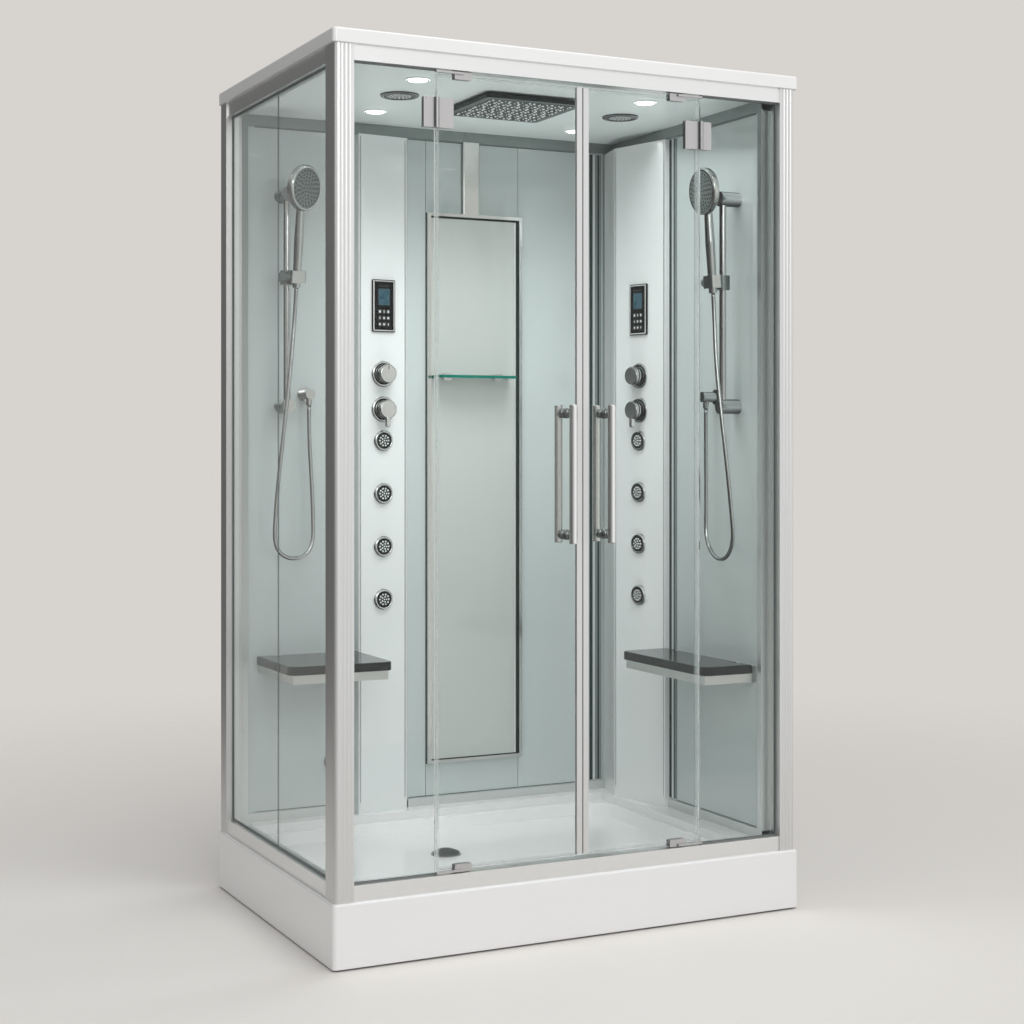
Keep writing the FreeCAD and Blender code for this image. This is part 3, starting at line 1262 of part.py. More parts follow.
def mirror_frame():
    """Four mitred bars, the cover strip above them and the clips of the shelf."""
    y0, y1 = WALL_FACE_Y - MIRROR_PROUD, WALL_FACE_Y
    left, right, low, high = MIRROR_LEFT, MIRROR_RIGHT, MIRROR_BOTTOM, MIRROR_TOP
    bar = MIRROR_BAR
    outer = [(left, low), (right, low), (right, high), (left, high)]
    inner = [(left + bar, low + bar), (right - bar, low + bar),
             (right - bar, high - bar), (left + bar, high - bar)]
    pieces = []
    for index in range(4):
        after = (index + 1) % 4
        corners = [outer[index], outer[after], inner[after], inner[index]]
        points = [V(x, y0, z) for x, z in corners]
        face = Part.Face(Part.makePolygon(points + points[:1]))
        pieces.append(face.extrude(V(0, y1 - y0, 0)).cut(mirror_glass()))
    pieces.append(rounded_block(DUCT_LEFT, DUCT_LEFT + DUCT_WIDTH, y1 - DUCT_PROUD, y1,
                                high, WALL_TOP_Z - LOOSE, DUCT_PROUD / 4))
    clip_y1 = WALL_FACE_Y - MIRROR_GLASS_PROUD
    shelf_x0, shelf_x1 = shelf_box(0, 0)[:2]
    shelf = box(*shelf_box(1, LOOSE / 3))
    for x in (shelf_x0 + CLIP_INSET, shelf_x1 - CLIP_INSET - CLIP_WIDTH):
        clip = box(x, x + CLIP_WIDTH, clip_y1 - CLIP_DEPTH, clip_y1,
                   SHELF_Z - CLIP_WALL, SHELF_Z + SHELF_THICKNESS + CLIP_WALL)
        pieces.append(clip.cut(shelf))
    return group(pieces)


# --- Hand showers ----------------------------------------------------------
class Shower:
    """One riser rail with its slider, handset, outlet and hose."""

    def __init__(self, wall, bar_u, offset, brackets, slider_z, lean, swivel,
                 outlet_u, outlet_z, route):
        self.wall = wall
        self.bar_u = bar_u
        self.offset = offset
        self.brackets = brackets
        self.slider_z = slider_z
        self.lean = lean
        self.swivel = swivel
        self.outlet_u = outlet_u
        self.outlet_z = outlet_z
        self.route = route
        pivot = V(bar_u + PIVOT_SIDE, -offset - PIVOT_REACH, slider_z)
        tilt = FreeCAD.Rotation(V(1, 0, 0), lean)
        turned = tilt.multiply(FreeCAD.Rotation(UP, swivel))
        self.cup_place = FreeCAD.Placement(pivot, tilt)
        self.handset_place = FreeCAD.Placement(pivot, turned)

    def below_nipple(self, run):
        return self.wall.point(self.outlet_u, -OUTLET_REACH,
                               self.outlet_z - NIPPLE_LENGTH - run)

    def below_handset(self, run):
        in_wall = self.handset_place.multVec(V(0, 0, -HANDLE_TAIL - run))
        return self.wall.placement.multVec(in_wall)

    def hose_points(self):
        return ([self.below_nipple(0), self.below_nipple(HOSE_FIRST_RUN)]
                + [V(*point) for point in self.route]
                + [self.below_handset(HOSE_LAST_RUN), self.below_handset(0)])


LEFT_SHOWER = Shower(BACK, LEFT_BAR_X, LEFT_BAR_OFFSET, LEFT_BRACKETS, LEFT_SLIDER_Z,
                     LEFT_LEAN, LEFT_SWIVEL, LEFT_OUTLET_X, LEFT_OUTLET_Z, LEFT_HOSE_ROUTE)
RIGHT_SHOWER = Shower(RIGHT, -RIGHT_BAR_Y, RIGHT_BAR_OFFSET, RIGHT_BRACKETS,
                      RIGHT_SLIDER_Z, RIGHT_LEAN, RIGHT_SWIVEL, -RIGHT_OUTLET_Y,
                      RIGHT_OUTLET_Z, RIGHT_HOSE_ROUTE)


def riser_rail(shower):
    u, y = shower.bar_u, -shower.offset
    low, high = shower.brackets
    bar = rod(BAR_RADIUS, (u, y, low - BAR_END), (u, y, high + BAR_END))
    brackets = [rod(BRACKET_RADIUS, (u, 0, z), (u, y - BRACKET_CAP, z)) for z in (low, high)]
    return shower.wall.place(fuse(bar, *brackets))


def slider(shower):
    u, y, z = shower.bar_u, -shower.offset, shower.slider_z
    half = SLIDER_HEIGHT / 2
    pivot_y = y - PIVOT_REACH
    arm_u1 = u + PIVOT_SIDE - CUP_WIDTH / 2 - LOOSE
    arm_u0 = arm_u1 - SLIDER_ARM
    arm_half = SLIDER_ARM_HEIGHT / 2
    collar = rod(SLIDER_RADIUS, (u, y, z - half), (u, y, z + half))
    arm = box(arm_u0, arm_u1, pivot_y, y, z - arm_half, z + arm_half)
    end = rod(arm_half, (arm_u0, pivot_y, z), (arm_u1, pivot_y, z))
    pin = rod(TILT_PIN, (arm_u0, pivot_y, z), (arm_u1 + TILT_PIN_LENGTH, pivot_y, z))
    bore = rod(BAR_RADIUS + RUNNING, (u, y, z - half - OVERCUT), (u, y, z + half + OVERCUT))
    return shower.wall.place(fuse(collar, arm, end, pin).cut(bore))


def handset_grip(play):
    """The handle, from its tail to the head, with the play of its cup."""
    tail = -HANDLE_TAIL
    middle = tail + HANDSET_REACH / 2
    top = tail + HANDSET_REACH - HEAD_RADIUS + HEAD_ROUND
    lower = cone(HANDSET_TAIL_RADIUS + play, HANDSET_GRIP_RADIUS + play,
                 (0, 0, tail), (0, 0, middle))
    upper = cone(HANDSET_GRIP_RADIUS + play, HANDSET_NECK_RADIUS + play,
                 (0, 0, middle), (0, 0, top))
    return fuse(lower, upper)


def handset(shower):
    head_z = HANDSET_REACH - HANDLE_TAIL
    y = -HEAD_PROUD
    half = HEAD_THICKNESS / 2
    head = rod(HEAD_RADIUS, (0, y - half, head_z), (0, y + half, head_z))
    head = soften(head, HEAD_ROUND, lambda edge: len(edge.Vertexes) == 1)
    hand_shower = fuse(handset_grip(0), head)
    hand_shower.Placement = shower.handset_place
    cup = rounded_block(-CUP_WIDTH / 2, CUP_WIDTH / 2, -CUP_DEPTH / 2, CUP_DEPTH / 2,
                        -CUP_HEIGHT / 2, CUP_HEIGHT / 2, CUP_ROUND)
    pin_room = rod(TILT_PIN + RUNNING, (-CUP_WIDTH / 2 - OVERCUT, 0, 0),
                   (-CUP_WIDTH / 2 + TILT_PIN_LENGTH + OVERCUT, 0, 0))
    cup = cut(cup, handset_grip(RUNNING), pin_room)
    cup.Placement = shower.cup_place
    return group([shower.wall.place(hand_shower), shower.wall.place(cup)])


def hose_outlet(shower):
    u, z = shower.outlet_u, shower.outlet_z
    plate = rod(OUTLET_RADIUS, (u, 0, z), (u, -OUTLET_PLATE, z))
    body = rod(OUTLET_BODY, (u, -OUTLET_PLATE, z), (u, -OUTLET_REACH - OUTLET_BODY, z))
    stub = rod(OUTLET_STUB, (u, OUTLET_STUB_LENGTH, z), (u, 0, z))
    nipple = rod(NIPPLE_RADIUS, (u, -OUTLET_REACH, z), (u, -OUTLET_REACH, z - NIPPLE_LENGTH))
    return shower.wall.place(fuse(plate, body, stub, nipple))


def tube_along(points, radius):
    """A tube of straight runs and tangent arcs, each arc as large as fits."""
    runs = [points[i + 1] - points[i] for i in range(len(points) - 1)]
    edges = []
    radii = []
    start = points[0]
    length = 0
    for index in range(1, len(points) - 1):
        before, after = runs[index - 1], runs[index]
        half_turn = before.getAngle(after) / 2
        reach = 0.45 * min(before.Length, after.Length)
        bend = reach / math.tan(half_turn)
        radii.append(bend)
        corner = points[index]
        into = V(before).normalize()
        out = V(after).normalize()
        first = corner - into * reach
        last = corner + out * reach
        inward = (out - into).normalize()
        middle = corner + inward * (bend / math.cos(half_turn) - bend)
        edges.append(Part.LineSegment(start, first).toShape())
        edges.append(Part.Arc(first, middle, last).toShape())
        length += (first - start).Length + 2 * half_turn * bend
        start = last
    edges.append(Part.LineSegment(start, points[-1]).toShape())
    length += (points[-1] - start).Length
    circle = Part.Circle(points[0], runs[0], radius).toShape()
    tube = Part.Wire(edges).makePipeShell([Part.Wire([circle])], True, True)
    return tube, length, radii


def hose(shower):
    radius = HOSE_DIAMETER / 2
    tube, length, radii = tube_along(shower.hose_points(), radius)
    print("hose length %.0f, volume %.0f against %.0f, least radius %.1f" % (
        length, tube.Volume, math.pi * radius ** 2 * length, min(radii)))
    print("radii", [round(bend) for bend in radii])
    print("points", [tuple(round(c, 1) for c in point) for point in shower.hose_points()])
    return tube


# --- Seats -----------------------------------------------------------------
class Seat:
    """A fold-up seat, by its middle along the wall, its width and depth."""

    def __init__(self, wall, middle, width, depth):
        self.wall = wall
        self.u0 = middle - width / 2
        self.u1 = middle + width / 2
        self.depth = depth

    def arms(self):
        """The middles of the two fixed arms along the wall."""
        return (self.u0 + SEAT_ARM_INSET, self.u1 - SEAT_ARM_INSET)


LEFT_SEAT = Seat(BACK, LEFT_SEAT_CENTRE, LEFT_SEAT_WIDTH, LEFT_SEAT_DEPTH)
RIGHT_SEAT = Seat(RIGHT, -RIGHT_SEAT_CENTRE, RIGHT_SEAT_WIDTH, RIGHT_SEAT_DEPTH)


def seat_axis_rod(radius, u0, u1):
    return rod(radius, (u0, -SEAT_AXIS_OFFSET, SEAT_AXIS_Z),
               (u1, -SEAT_AXIS_OFFSET, SEAT_AXIS_Z))


def seat_board(seat):
    board = rounded_block(seat.u0, seat.u1, -seat.depth, -SEAT_BACK_GAP,
                          SEAT_TOP - SEAT_BOARD, SEAT_TOP, SEAT_CORNER)
    square = box(seat.u0, seat.u1, -SEAT_BACK_GAP - SEAT_CORNER, -SEAT_BACK_GAP,
                 SEAT_TOP - SEAT_BOARD, SEAT_TOP)
    board = soften(fuse(board, square), SEAT_ROUND, level_at(SEAT_TOP))
    half = SEAT_ARM_WIDTH / 2 + SEAT_LUG_WIDTH + 2 * LOOSE
    front = -SEAT_AXIS_OFFSET - SEAT_EYE - 2 * LOOSE
    for u in seat.arms():
        board = board.cut(box(u - half, u + half, front, 0, 0, SEAT_TOP + OVERCUT))
    return seat.wall.place(board)


def seat_bracket(seat):
    """A folded pan under the board, its stop edge and the lugs of its hinge."""
    z1 = SEAT_TOP - SEAT_BOARD
    z0 = z1 - SEAT_BRACKET
    inset = SEAT_BRACKET_INSET
    back = -SEAT_RAIL - LOOSE
    pan = box(seat.u0 + inset, seat.u1 - inset, -seat.depth + inset, back, z0, z1)
    room = box(seat.u0 + inset + SEAT_SHEET, seat.u1 - inset - SEAT_SHEET,
               -seat.depth + inset + SEAT_SHEET, back - SEAT_SHEET, z0 - OVERCUT, z1 - SEAT_SHEET)
    pan = pan.cut(room)
    lugs = []
    for u in seat.arms():
        for side in (-1, 1):
            near = u + side * (SEAT_ARM_WIDTH / 2 + LOOSE)
            u0, u1 = sorted((near, near + side * SEAT_LUG_WIDTH))
            lugs.append(seat_axis_rod(SEAT_EYE, u0, u1))
            lugs.append(box(u0, u1, -SEAT_AXIS_OFFSET - SEAT_EYE,
                            -SEAT_AXIS_OFFSET + SEAT_EYE, z1 - SEAT_SHEET, SEAT_AXIS_Z))
    bore = seat_axis_rod(SEAT_PIN + RUNNING, seat.u0, seat.u1)
    return seat.wall.place(fuse(pan, *lugs).cut(bore))


def seat_hinge_rail(seat):
    z1 = SEAT_TOP - SEAT_RAIL_TOP_GAP
    z0 = SEAT_TOP - SEAT_BOARD - SEAT_BRACKET
    inset = SEAT_BRACKET_INSET
    shapes = [box(seat.u0 + inset, seat.u1 - inset, -SEAT_RAIL, 0, z0, z1)]
    for u in seat.arms():
        half = SEAT_ARM_WIDTH / 2
        pin_half = half + LOOSE + SEAT_LUG_WIDTH
        shapes.append(box(u - half, u + half, -SEAT_AXIS_OFFSET, -SEAT_RAIL,
                          SEAT_AXIS_Z - SEAT_EYE, SEAT_AXIS_Z + SEAT_EYE))
        shapes.append(seat_axis_rod(SEAT_EYE, u - half, u + half))
        shapes.append(seat_axis_rod(SEAT_PIN, u - pin_half, u + pin_half))
    return seat.wall.place(fuse(*shapes))


# --- Ceiling and roof ------------------------------------------------------
def ceiling_panel():
    sheet = box(-RAIL_INNER_X, RAIL_INNER_X, RAIL_BACK_Y, WALL_RAIL_Y,
                CEILING_Z, CEILING_Z + CEILING_SHEET)
    posts = [box(sx * POST_INNER_X if sx > 0 else -HALF_WIDTH,
                 HALF_WIDTH if sx > 0 else -POST_INNER_X,
                 -HALF_DEPTH, FRONT_POST_Y1, CEILING_Z - OVERCUT, CEILING_Z + CEILING_SHEET + OVERCUT)
             for sx in (-1, 1)]
    holes = [(RAIN_X, RAIN_Y, RAIN_NECK), (FAN_X, FAN_Y, FAN_OPENING),
             (SPEAKER_X, SPEAKER_Y, SPEAKER_BASKET)]
    holes += [(x, y, LIGHT_BODY) for x, y in LIGHTS]
    tools = [rod(radius + LOOSE, (x, y, CEILING_Z - OVERCUT), (x, y, CEILING_Z + CEILING_SHEET + OVERCUT))
             for x, y, radius in holes]
    return cut(sheet, *posts, *tools)


def roof_cover():
    z0, z1 = FRAME_Z1, CABIN_HEIGHT
    shell = rounded_block(-HALF_WIDTH, HALF_WIDTH, -HALF_DEPTH, HALF_DEPTH, z0, z1,
                          ROOF_CORNER)
    shell = soften(shell, ROOF_TOP_ROUND, level_at(z1))
    sheet = ROOF_SHEET
    room = box(-HALF_WIDTH + sheet, HALF_WIDTH - sheet, -HALF_DEPTH + sheet,
               HALF_DEPTH - sheet, z0 + sheet, z1 - sheet)
    opening = box(-HALF_WIDTH + ROOF_FLANGE, HALF_WIDTH - ROOF_FLANGE,
                  -HALF_DEPTH + ROOF_FLANGE, HALF_DEPTH - ROOF_FLANGE, z0 - OVERCUT, z0 + sheet + OVERCUT)
    return cut(shell, room, opening)


def rain_head():
    half = RAIN_SIZE / 2
    z1 = CEILING_Z - RAIN_GAP
    z0 = z1 - RAIN_THICKNESS
    plate = rounded_block(RAIN_X - half, RAIN_X + half, RAIN_Y - half, RAIN_Y + half,
                          z0, z1, RAIN_CORNER)
    plate = soften(plate, PLATE_ROUND, level_at(z0))
    shell = RAIN_SHELL
    room = rounded_block(RAIN_X - half + RAIN_CORNER, RAIN_X + half - RAIN_CORNER,
                         RAIN_Y - half + RAIN_CORNER, RAIN_Y + half - RAIN_CORNER,
                         z0 + shell, z1 - shell, shell)
    neck = rod(RAIN_NECK, (RAIN_X, RAIN_Y, z1), (RAIN_X, RAIN_Y, RAIN_PIPE_Z - ELBOW))
    bore = rod(RAIN_NECK - shell, (RAIN_X, RAIN_Y, z0 + shell),
               (RAIN_X, RAIN_Y, RAIN_PIPE_Z))
    return cut(fuse(plate, neck), room, bore)


def grille(x, y):
    """A round grille with straight slots, flat against the ceiling."""
    z0, z1 = CEILING_Z - GRILLE_THICKNESS, CEILING_Z
    disc = rod(GRILLE_RADIUS, (x, y, z0), (x, y, z1))
    inner = GRILLE_RADIUS - GRILLE_RIM
    slots = rod(inner, (x, y, z0 - OVERCUT), (x, y, z1 + OVERCUT))
    pitch = 2 * inner / (GRILLE_BARS + 1)
    for index in range(GRILLE_BARS):
        middle = x - inner + (index + 1) * pitch
        slots = slots.cut(box(middle - GRILLE_BAR / 2, middle + GRILLE_BAR / 2,
                              y - inner, y + inner, z0 - 2 * OVERCUT,
                              z1 + 2 * OVERCUT))
    return disc.cut(slots)


def fan_housing():
    x, y = FAN_X, FAN_Y
    z0 = CEILING_Z + CEILING_SHEET
    z1 = z0 + FAN_HEIGHT
    drum = rod(FAN_RADIUS, (x, y, z0), (x, y, z1))
    room = rod(FAN_RADIUS - FAN_WALL, (x, y, z0 - OVERCUT), (x, y, z1 - FAN_WALL))
    motor = rod(FAN_MOTOR, (x, y, z1 - FAN_WALL - FAN_MOTOR_HEIGHT), (x, y, z1 - FAN_WALL))
    shaft_z1 = z1 - FAN_WALL - FAN_MOTOR_HEIGHT
    shaft = rod(FAN_SHAFT, (x, y, shaft_z1 - FAN_SHAFT_LENGTH), (x, y, shaft_z1))
    return group([fuse(drum.cut(room), motor, shaft), grille(x, y)])


def fan_rotor():
    x, y = FAN_X, FAN_Y
    z1 = (CEILING_Z + CEILING_SHEET + FAN_HEIGHT - FAN_WALL - FAN_MOTOR_HEIGHT
          - GRILLE_BAR)
    z0 = z1 - ROTOR_HEIGHT
    hub = rod(ROTOR_HUB, (x, y, z0), (x, y, z1))
    middle = (z0 + z1) / 2
    rim = rod(ROTOR_RADIUS, (x, y, z0), (x, y, z1))
    blades = []
    for index in range(ROTOR_BLADES):
        blade = box(0, ROTOR_RADIUS, -ROTOR_BLADE / 2, ROTOR_BLADE / 2,
                    -ROTOR_HEIGHT, ROTOR_HEIGHT)
        blade.rotate(V(0, 0, 0), V(1, 0, 0), ROTOR_PITCH)
        blade.rotate(V(0, 0, 0), UP, index * 360 / ROTOR_BLADES)
        blade.translate(V(x, y, middle))
        blades.append(blade.common(rim))
    bore = rod(FAN_SHAFT + RUNNING, (x, y, z0 - OVERCUT), (x, y, z1 + OVERCUT))
    return fuse(hub, *blades).cut(bore)


def speaker():
    x, y = SPEAKER_X, SPEAKER_Y
    z0 = CEILING_Z
    z1 = z0 + SPEAKER_BASKET_HEIGHT
    basket = cone(SPEAKER_BASKET, SPEAKER_MAGNET, (x, y, z0), (x, y, z1))
    magnet = rod(SPEAKER_MAGNET, (x, y, z1), (x, y, z1 + SPEAKER_MAGNET_HEIGHT))
    return group([fuse(basket, magnet), grille(x, y)])


def ceiling_lights():
    lights = []
    for x, y in LIGHTS:
        bezel = rod(LIGHT_RADIUS, (x, y, CEILING_Z - LIGHT_BEZEL), (x, y, CEILING_Z))
        bezel = soften(bezel, LIGHT_ROUND, level_at(CEILING_Z - LIGHT_BEZEL))
        body = rod(LIGHT_BODY, (x, y, CEILING_Z), (x, y, CEILING_Z + LIGHT_BODY_HEIGHT))
        lights.append(fuse(bezel, body))
    return group(lights)


# --- Water and steam -------------------------------------------------------
def pipe_run(start, end, trim_start, trim_end):
    """A straight pipe between two places, shortened where it meets a block."""
    axis = (end - start).normalize()
    first = start + axis * trim_start
    last = end - axis * trim_end
    outer = Part.makeCylinder(PIPE_RADIUS, (last - first).Length, first, axis)
    bore = Part.makeCylinder(PIPE_RADIUS - PIPE_WALL, (last - first).Length, first, axis)
    return outer.cut(bore)


def elbow_block(place):
    return box(place.x - ELBOW, place.x + ELBOW, place.y - ELBOW, place.y + ELBOW,
               place.z - ELBOW, place.z + ELBOW)


def pipe_line(places):
    """Straight pipes with a block at each inner corner of the line."""
    pieces = []
    for index, (start, end) in enumerate(zip(places, places[1:])):
        trim_start = ELBOW if index > 0 else 0
        trim_end = ELBOW if index < len(places) - 2 else 0
        pieces.append(pipe_run(start, end, trim_start, trim_end))
    return pieces + [elbow_block(place) for place in places[1:-1]]


LEFT_MANIFOLD = LEFT_FACE.point(0, MANIFOLD_OFFSET, 0)
RIGHT_MANIFOLD = RIGHT_FACE.point(0, MANIFOLD_OFFSET, 0)


def rain_pipe_places():
    x, y = LEFT_MANIFOLD.x, LEFT_MANIFOLD.y
    return [V(x, y, SUPPLY_Z + ELBOW), V(x, y, RAIN_PIPE_Z), V(x, RAIN_Y, RAIN_PIPE_Z),
            V(RAIN_X - ELBOW, RAIN_Y, RAIN_PIPE_Z)]


def rain_pipe_rooms():
    """What the rain pipe takes out of the rail that it passes through."""
    foot, turn, bend = rain_pipe_places()[:3]
    radius = PIPE_RADIUS + LOOSE
    grow = LOOSE
    return [
        Part.makeCylinder(radius, turn.z - foot.z, foot, UP),
        Part.makeCylinder(radius, turn.y - bend.y, bend, V(0, 1, 0)),
        box(turn.x - ELBOW - grow, turn.x + ELBOW + grow, turn.y - ELBOW - grow,
            turn.y + ELBOW + grow, turn.z - ELBOW - grow, turn.z + ELBOW),
    ]


def water_pipes():
    """Supply from the right manifold to the left one and on to the rain head,
    and the steam line from the generator to its outlet."""
    rain = pipe_line(rain_pipe_places())
    rain.append(elbow_block(V(RAIN_X, RAIN_Y, RAIN_PIPE_Z)))
    left_foot = V(LEFT_MANIFOLD.x, LEFT_MANIFOLD.y, SUPPLY_Z)
    right_x, right_y = RIGHT_MANIFOLD.x, RIGHT_MANIFOLD.y
    supply = pipe_line([
        V(right_x, right_y, DIVERTER_Z + VALVE_RADIUS),
        V(right_x, right_y, SUPPLY_Z),
        V(right_x, left_foot.y, SUPPLY_Z),
        left_foot + V(ELBOW, 0, 0),
    ])
    supply.append(elbow_block(left_foot))
    top = FRAME_Z0 + RAIL_HEIGHT + GENERATOR_HEIGHT
    steam_x = FRAME_SIDE - GENERATOR_WIDTH / 2
    steam_y = GENERATOR_CENTRE_Y + GENERATOR_DEPTH / 4
    steam = pipe_line([
        V(steam_x, steam_y, top),
        V(steam_x, steam_y, STEAM_PIPE_Z),
        V(steam_x - ELBOW * 4, steam_y, STEAM_PIPE_Z),
        V(steam_x - ELBOW * 4, PIPE_Y, STEAM_PIPE_Z),
        V(STEAM_X, PIPE_Y, STEAM_PIPE_Z),
        V(STEAM_X, PIPE_Y, STEAM_Z + ELBOW),
    ])
    steam.append(elbow_block(V(STEAM_X, PIPE_Y, STEAM_Z)))
    return group(rain + supply + steam)


def steam_generator():
    x0, x1 = FRAME_SIDE - GENERATOR_WIDTH, FRAME_SIDE
    y0 = GENERATOR_CENTRE_Y - GENERATOR_DEPTH / 2
    z0 = LOWER_RAIL_Z1
    return rounded_block(x0, x1, y0, y0 + GENERATOR_DEPTH, z0, z0 + GENERATOR_HEIGHT,
                         GENERATOR_CORNER)


def steam_outlet():
    z = STEAM_Z
    plate = rod(STEAM_RADIUS, (STEAM_X, 0, z), (STEAM_X, -STEAM_PROUD, z))
    plate = soften(plate, STEAM_ROUND, front_rim(-STEAM_PROUD))
    stub = rod(STEAM_STUB, (STEAM_X, 0, z), (STEAM_X, PIPE_Y - ELBOW - WALL_FACE_Y, z))
    bore = rod(STEAM_STUB - STEAM_STUB_WALL, (STEAM_X, STEAM_FACE - STEAM_PROUD, z),
               (STEAM_X, PIPE_Y - WALL_FACE_Y, z))
    slot = box(STEAM_X - STEAM_RADIUS / 2, STEAM_X + STEAM_RADIUS / 2, -STEAM_PROUD / 2,
               0, z - STEAM_RADIUS - OVERCUT, z)
    return BACK.place(cut(fuse(plate, stub), bore, slot))


# --- Nodes -----------------------------------------------------------------
NODES = {
    "shower_tray": shower_tray,
    "tray_frame": tray_frame,
    "levelling_feet": levelling_feet,
    "drain_trap": drain_trap,
    "drain_cover": drain_cover,
    "corner_posts": corner_posts,
    "frame_rails": frame_rails,
    "glazing_gaskets": glazing_gaskets,
    "front_fixed_panes": front_fixed_panes,
    "side_panes": side_panes,
    "left_door_glass": lambda: door_glass(LEFT_DOOR),
    "right_door_glass": lambda: door_glass(RIGHT_DOOR),
    "left_door_strip": lambda: meeting_profile(LEFT_DOOR),
    "right_door_strip": lambda: meeting_profile(RIGHT_DOOR),
    "left_door_seals": lambda: door_seals(LEFT_DOOR),
    "right_door_seals": lambda: door_seals(RIGHT_DOOR),
    "left_door_handle": lambda: door_handle(LEFT_DOOR),
    "right_door_handle": lambda: door_handle(RIGHT_DOOR),
    "left_door_hinges": lambda: door_hinges(LEFT_DOOR),
    "right_door_hinges": lambda: door_hinges(RIGHT_DOOR),
    "fixed_hinges": fixed_hinges,
    "back_wall_frame": back_wall_frame,
    "back_wall_panels": back_wall_panels,
    "side_wall_frame": side_wall_frame,
    "side_wall_panels": side_wall_panels,
    "left_column": left_column,
    "right_column": right_column,
    "control_panels": lambda: on_both_columns(control_panel),
    "valve_bodies": valve_bodies,
    "left_diverter_knob": lambda: LEFT_FACE.place(knob_shape(DIVERTER_Z, False)),
    "left_mixer_lever": lambda: LEFT_FACE.place(knob_shape(MIXER_Z, True)),
    "right_diverter_knob": lambda: RIGHT_FACE.place(knob_shape(DIVERTER_Z, False)),
    "right_mixer_lever": lambda: RIGHT_FACE.place(knob_shape(MIXER_Z, True)),
    "body_jets": body_jets,
    "mirror_frame": mirror_frame,
    "mirror_glass": mirror_glass,
    "glass_shelf": glass_shelf,
    "riser_rails": lambda: group(map(riser_rail, (LEFT_SHOWER, RIGHT_SHOWER))),
    "left_slider": lambda: slider(LEFT_SHOWER),
    "right_slider": lambda: slider(RIGHT_SHOWER),
    "left_handset": lambda: handset(LEFT_SHOWER),
    "right_handset": lambda: handset(RIGHT_SHOWER),
    "left_hose": lambda: hose(LEFT_SHOWER),
    "right_hose": lambda: hose(RIGHT_SHOWER),
    "hose_outlets": lambda: group(map(hose_outlet, (LEFT_SHOWER, RIGHT_SHOWER))),
    "seat_hinge_rails": lambda: group(map(seat_hinge_rail, (LEFT_SEAT, RIGHT_SEAT))),
    "left_seat_board": lambda: seat_board(LEFT_SEAT),
    "right_seat_board": lambda: seat_board(RIGHT_SEAT),
    "left_seat_bracket": lambda: seat_bracket(LEFT_SEAT),
    "right_seat_bracket": lambda: seat_bracket(RIGHT_SEAT),
    "ceiling_panel": ceiling_panel,
    "roof_cover": roof_cover,
    "rain_head": rain_head,
    "fan_housing": fan_housing,
    "fan_rotor": fan_rotor,
    "speaker": speaker,
    "ceiling_lights": ceiling_lights,
    "steam_generator": steam_generator,
    "steam_outlet": steam_outlet,
    "water_pipes": water_pipes,
}


def main():
    os.makedirs("parts", exist_ok=True)
    for name, make in NODES.items():
        shape = make()
        if not shape.isValid() or not shape.Solids:
            print("not a valid solid:", name)
        shape.exportStep("parts/" + name + ".step")
        print(name, len(shape.Solids), round(shape.Volume))


if __name__ == "__main__":
    main()
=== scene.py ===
"""Looks of the steam shower cabin: camera, hoses, stage, materials and the small detail on the CAD frame."""

import json
import math

import bmesh
import bpy
from mathutils import Matrix, Vector


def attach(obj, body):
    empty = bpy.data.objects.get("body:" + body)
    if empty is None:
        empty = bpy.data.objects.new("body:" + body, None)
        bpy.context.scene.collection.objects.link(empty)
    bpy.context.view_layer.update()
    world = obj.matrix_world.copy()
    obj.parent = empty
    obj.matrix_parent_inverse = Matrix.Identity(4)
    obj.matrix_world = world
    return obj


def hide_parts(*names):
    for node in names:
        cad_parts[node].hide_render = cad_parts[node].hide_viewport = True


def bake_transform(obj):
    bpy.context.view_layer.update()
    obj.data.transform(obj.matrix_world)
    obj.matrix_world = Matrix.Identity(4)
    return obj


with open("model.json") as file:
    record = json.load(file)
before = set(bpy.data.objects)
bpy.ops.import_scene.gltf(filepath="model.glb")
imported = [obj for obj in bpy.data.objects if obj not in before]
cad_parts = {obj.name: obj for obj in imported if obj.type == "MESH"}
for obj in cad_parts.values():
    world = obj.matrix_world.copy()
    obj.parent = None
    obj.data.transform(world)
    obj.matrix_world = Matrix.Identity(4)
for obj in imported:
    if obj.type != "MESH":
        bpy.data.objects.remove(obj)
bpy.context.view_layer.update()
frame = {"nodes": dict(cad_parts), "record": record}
NODES = frame["nodes"]
SCENE = bpy.context.scene

# Camera

CAMERA_PLACE = (-2.1075, -4.339, 1.2261)
CAMERA_TURN = (90, 0, -26.25)
CAMERA_LENS = 62.89
CAMERA_SENSOR = 36
CAMERA_SHIFT_Y = -0.0677
CAMERA_NEAR, CAMERA_FAR = 0.1, 60


def add_camera():
    data = bpy.data.cameras.new("camera")
    data.sensor_width = CAMERA_SENSOR
    data.lens = CAMERA_LENS
    data.shift_y = CAMERA_SHIFT_Y
    data.clip_start = CAMERA_NEAR
    data.clip_end = CAMERA_FAR
    camera = bpy.data.objects.new("camera", data)
    camera.location = CAMERA_PLACE
    camera.rotation_euler = [math.radians(a) for a in CAMERA_TURN]
    SCENE.collection.objects.link(camera)
    SCENE.camera = camera


# Hoses, in metres: each route has the control points from the outlet on the wall up to the handset

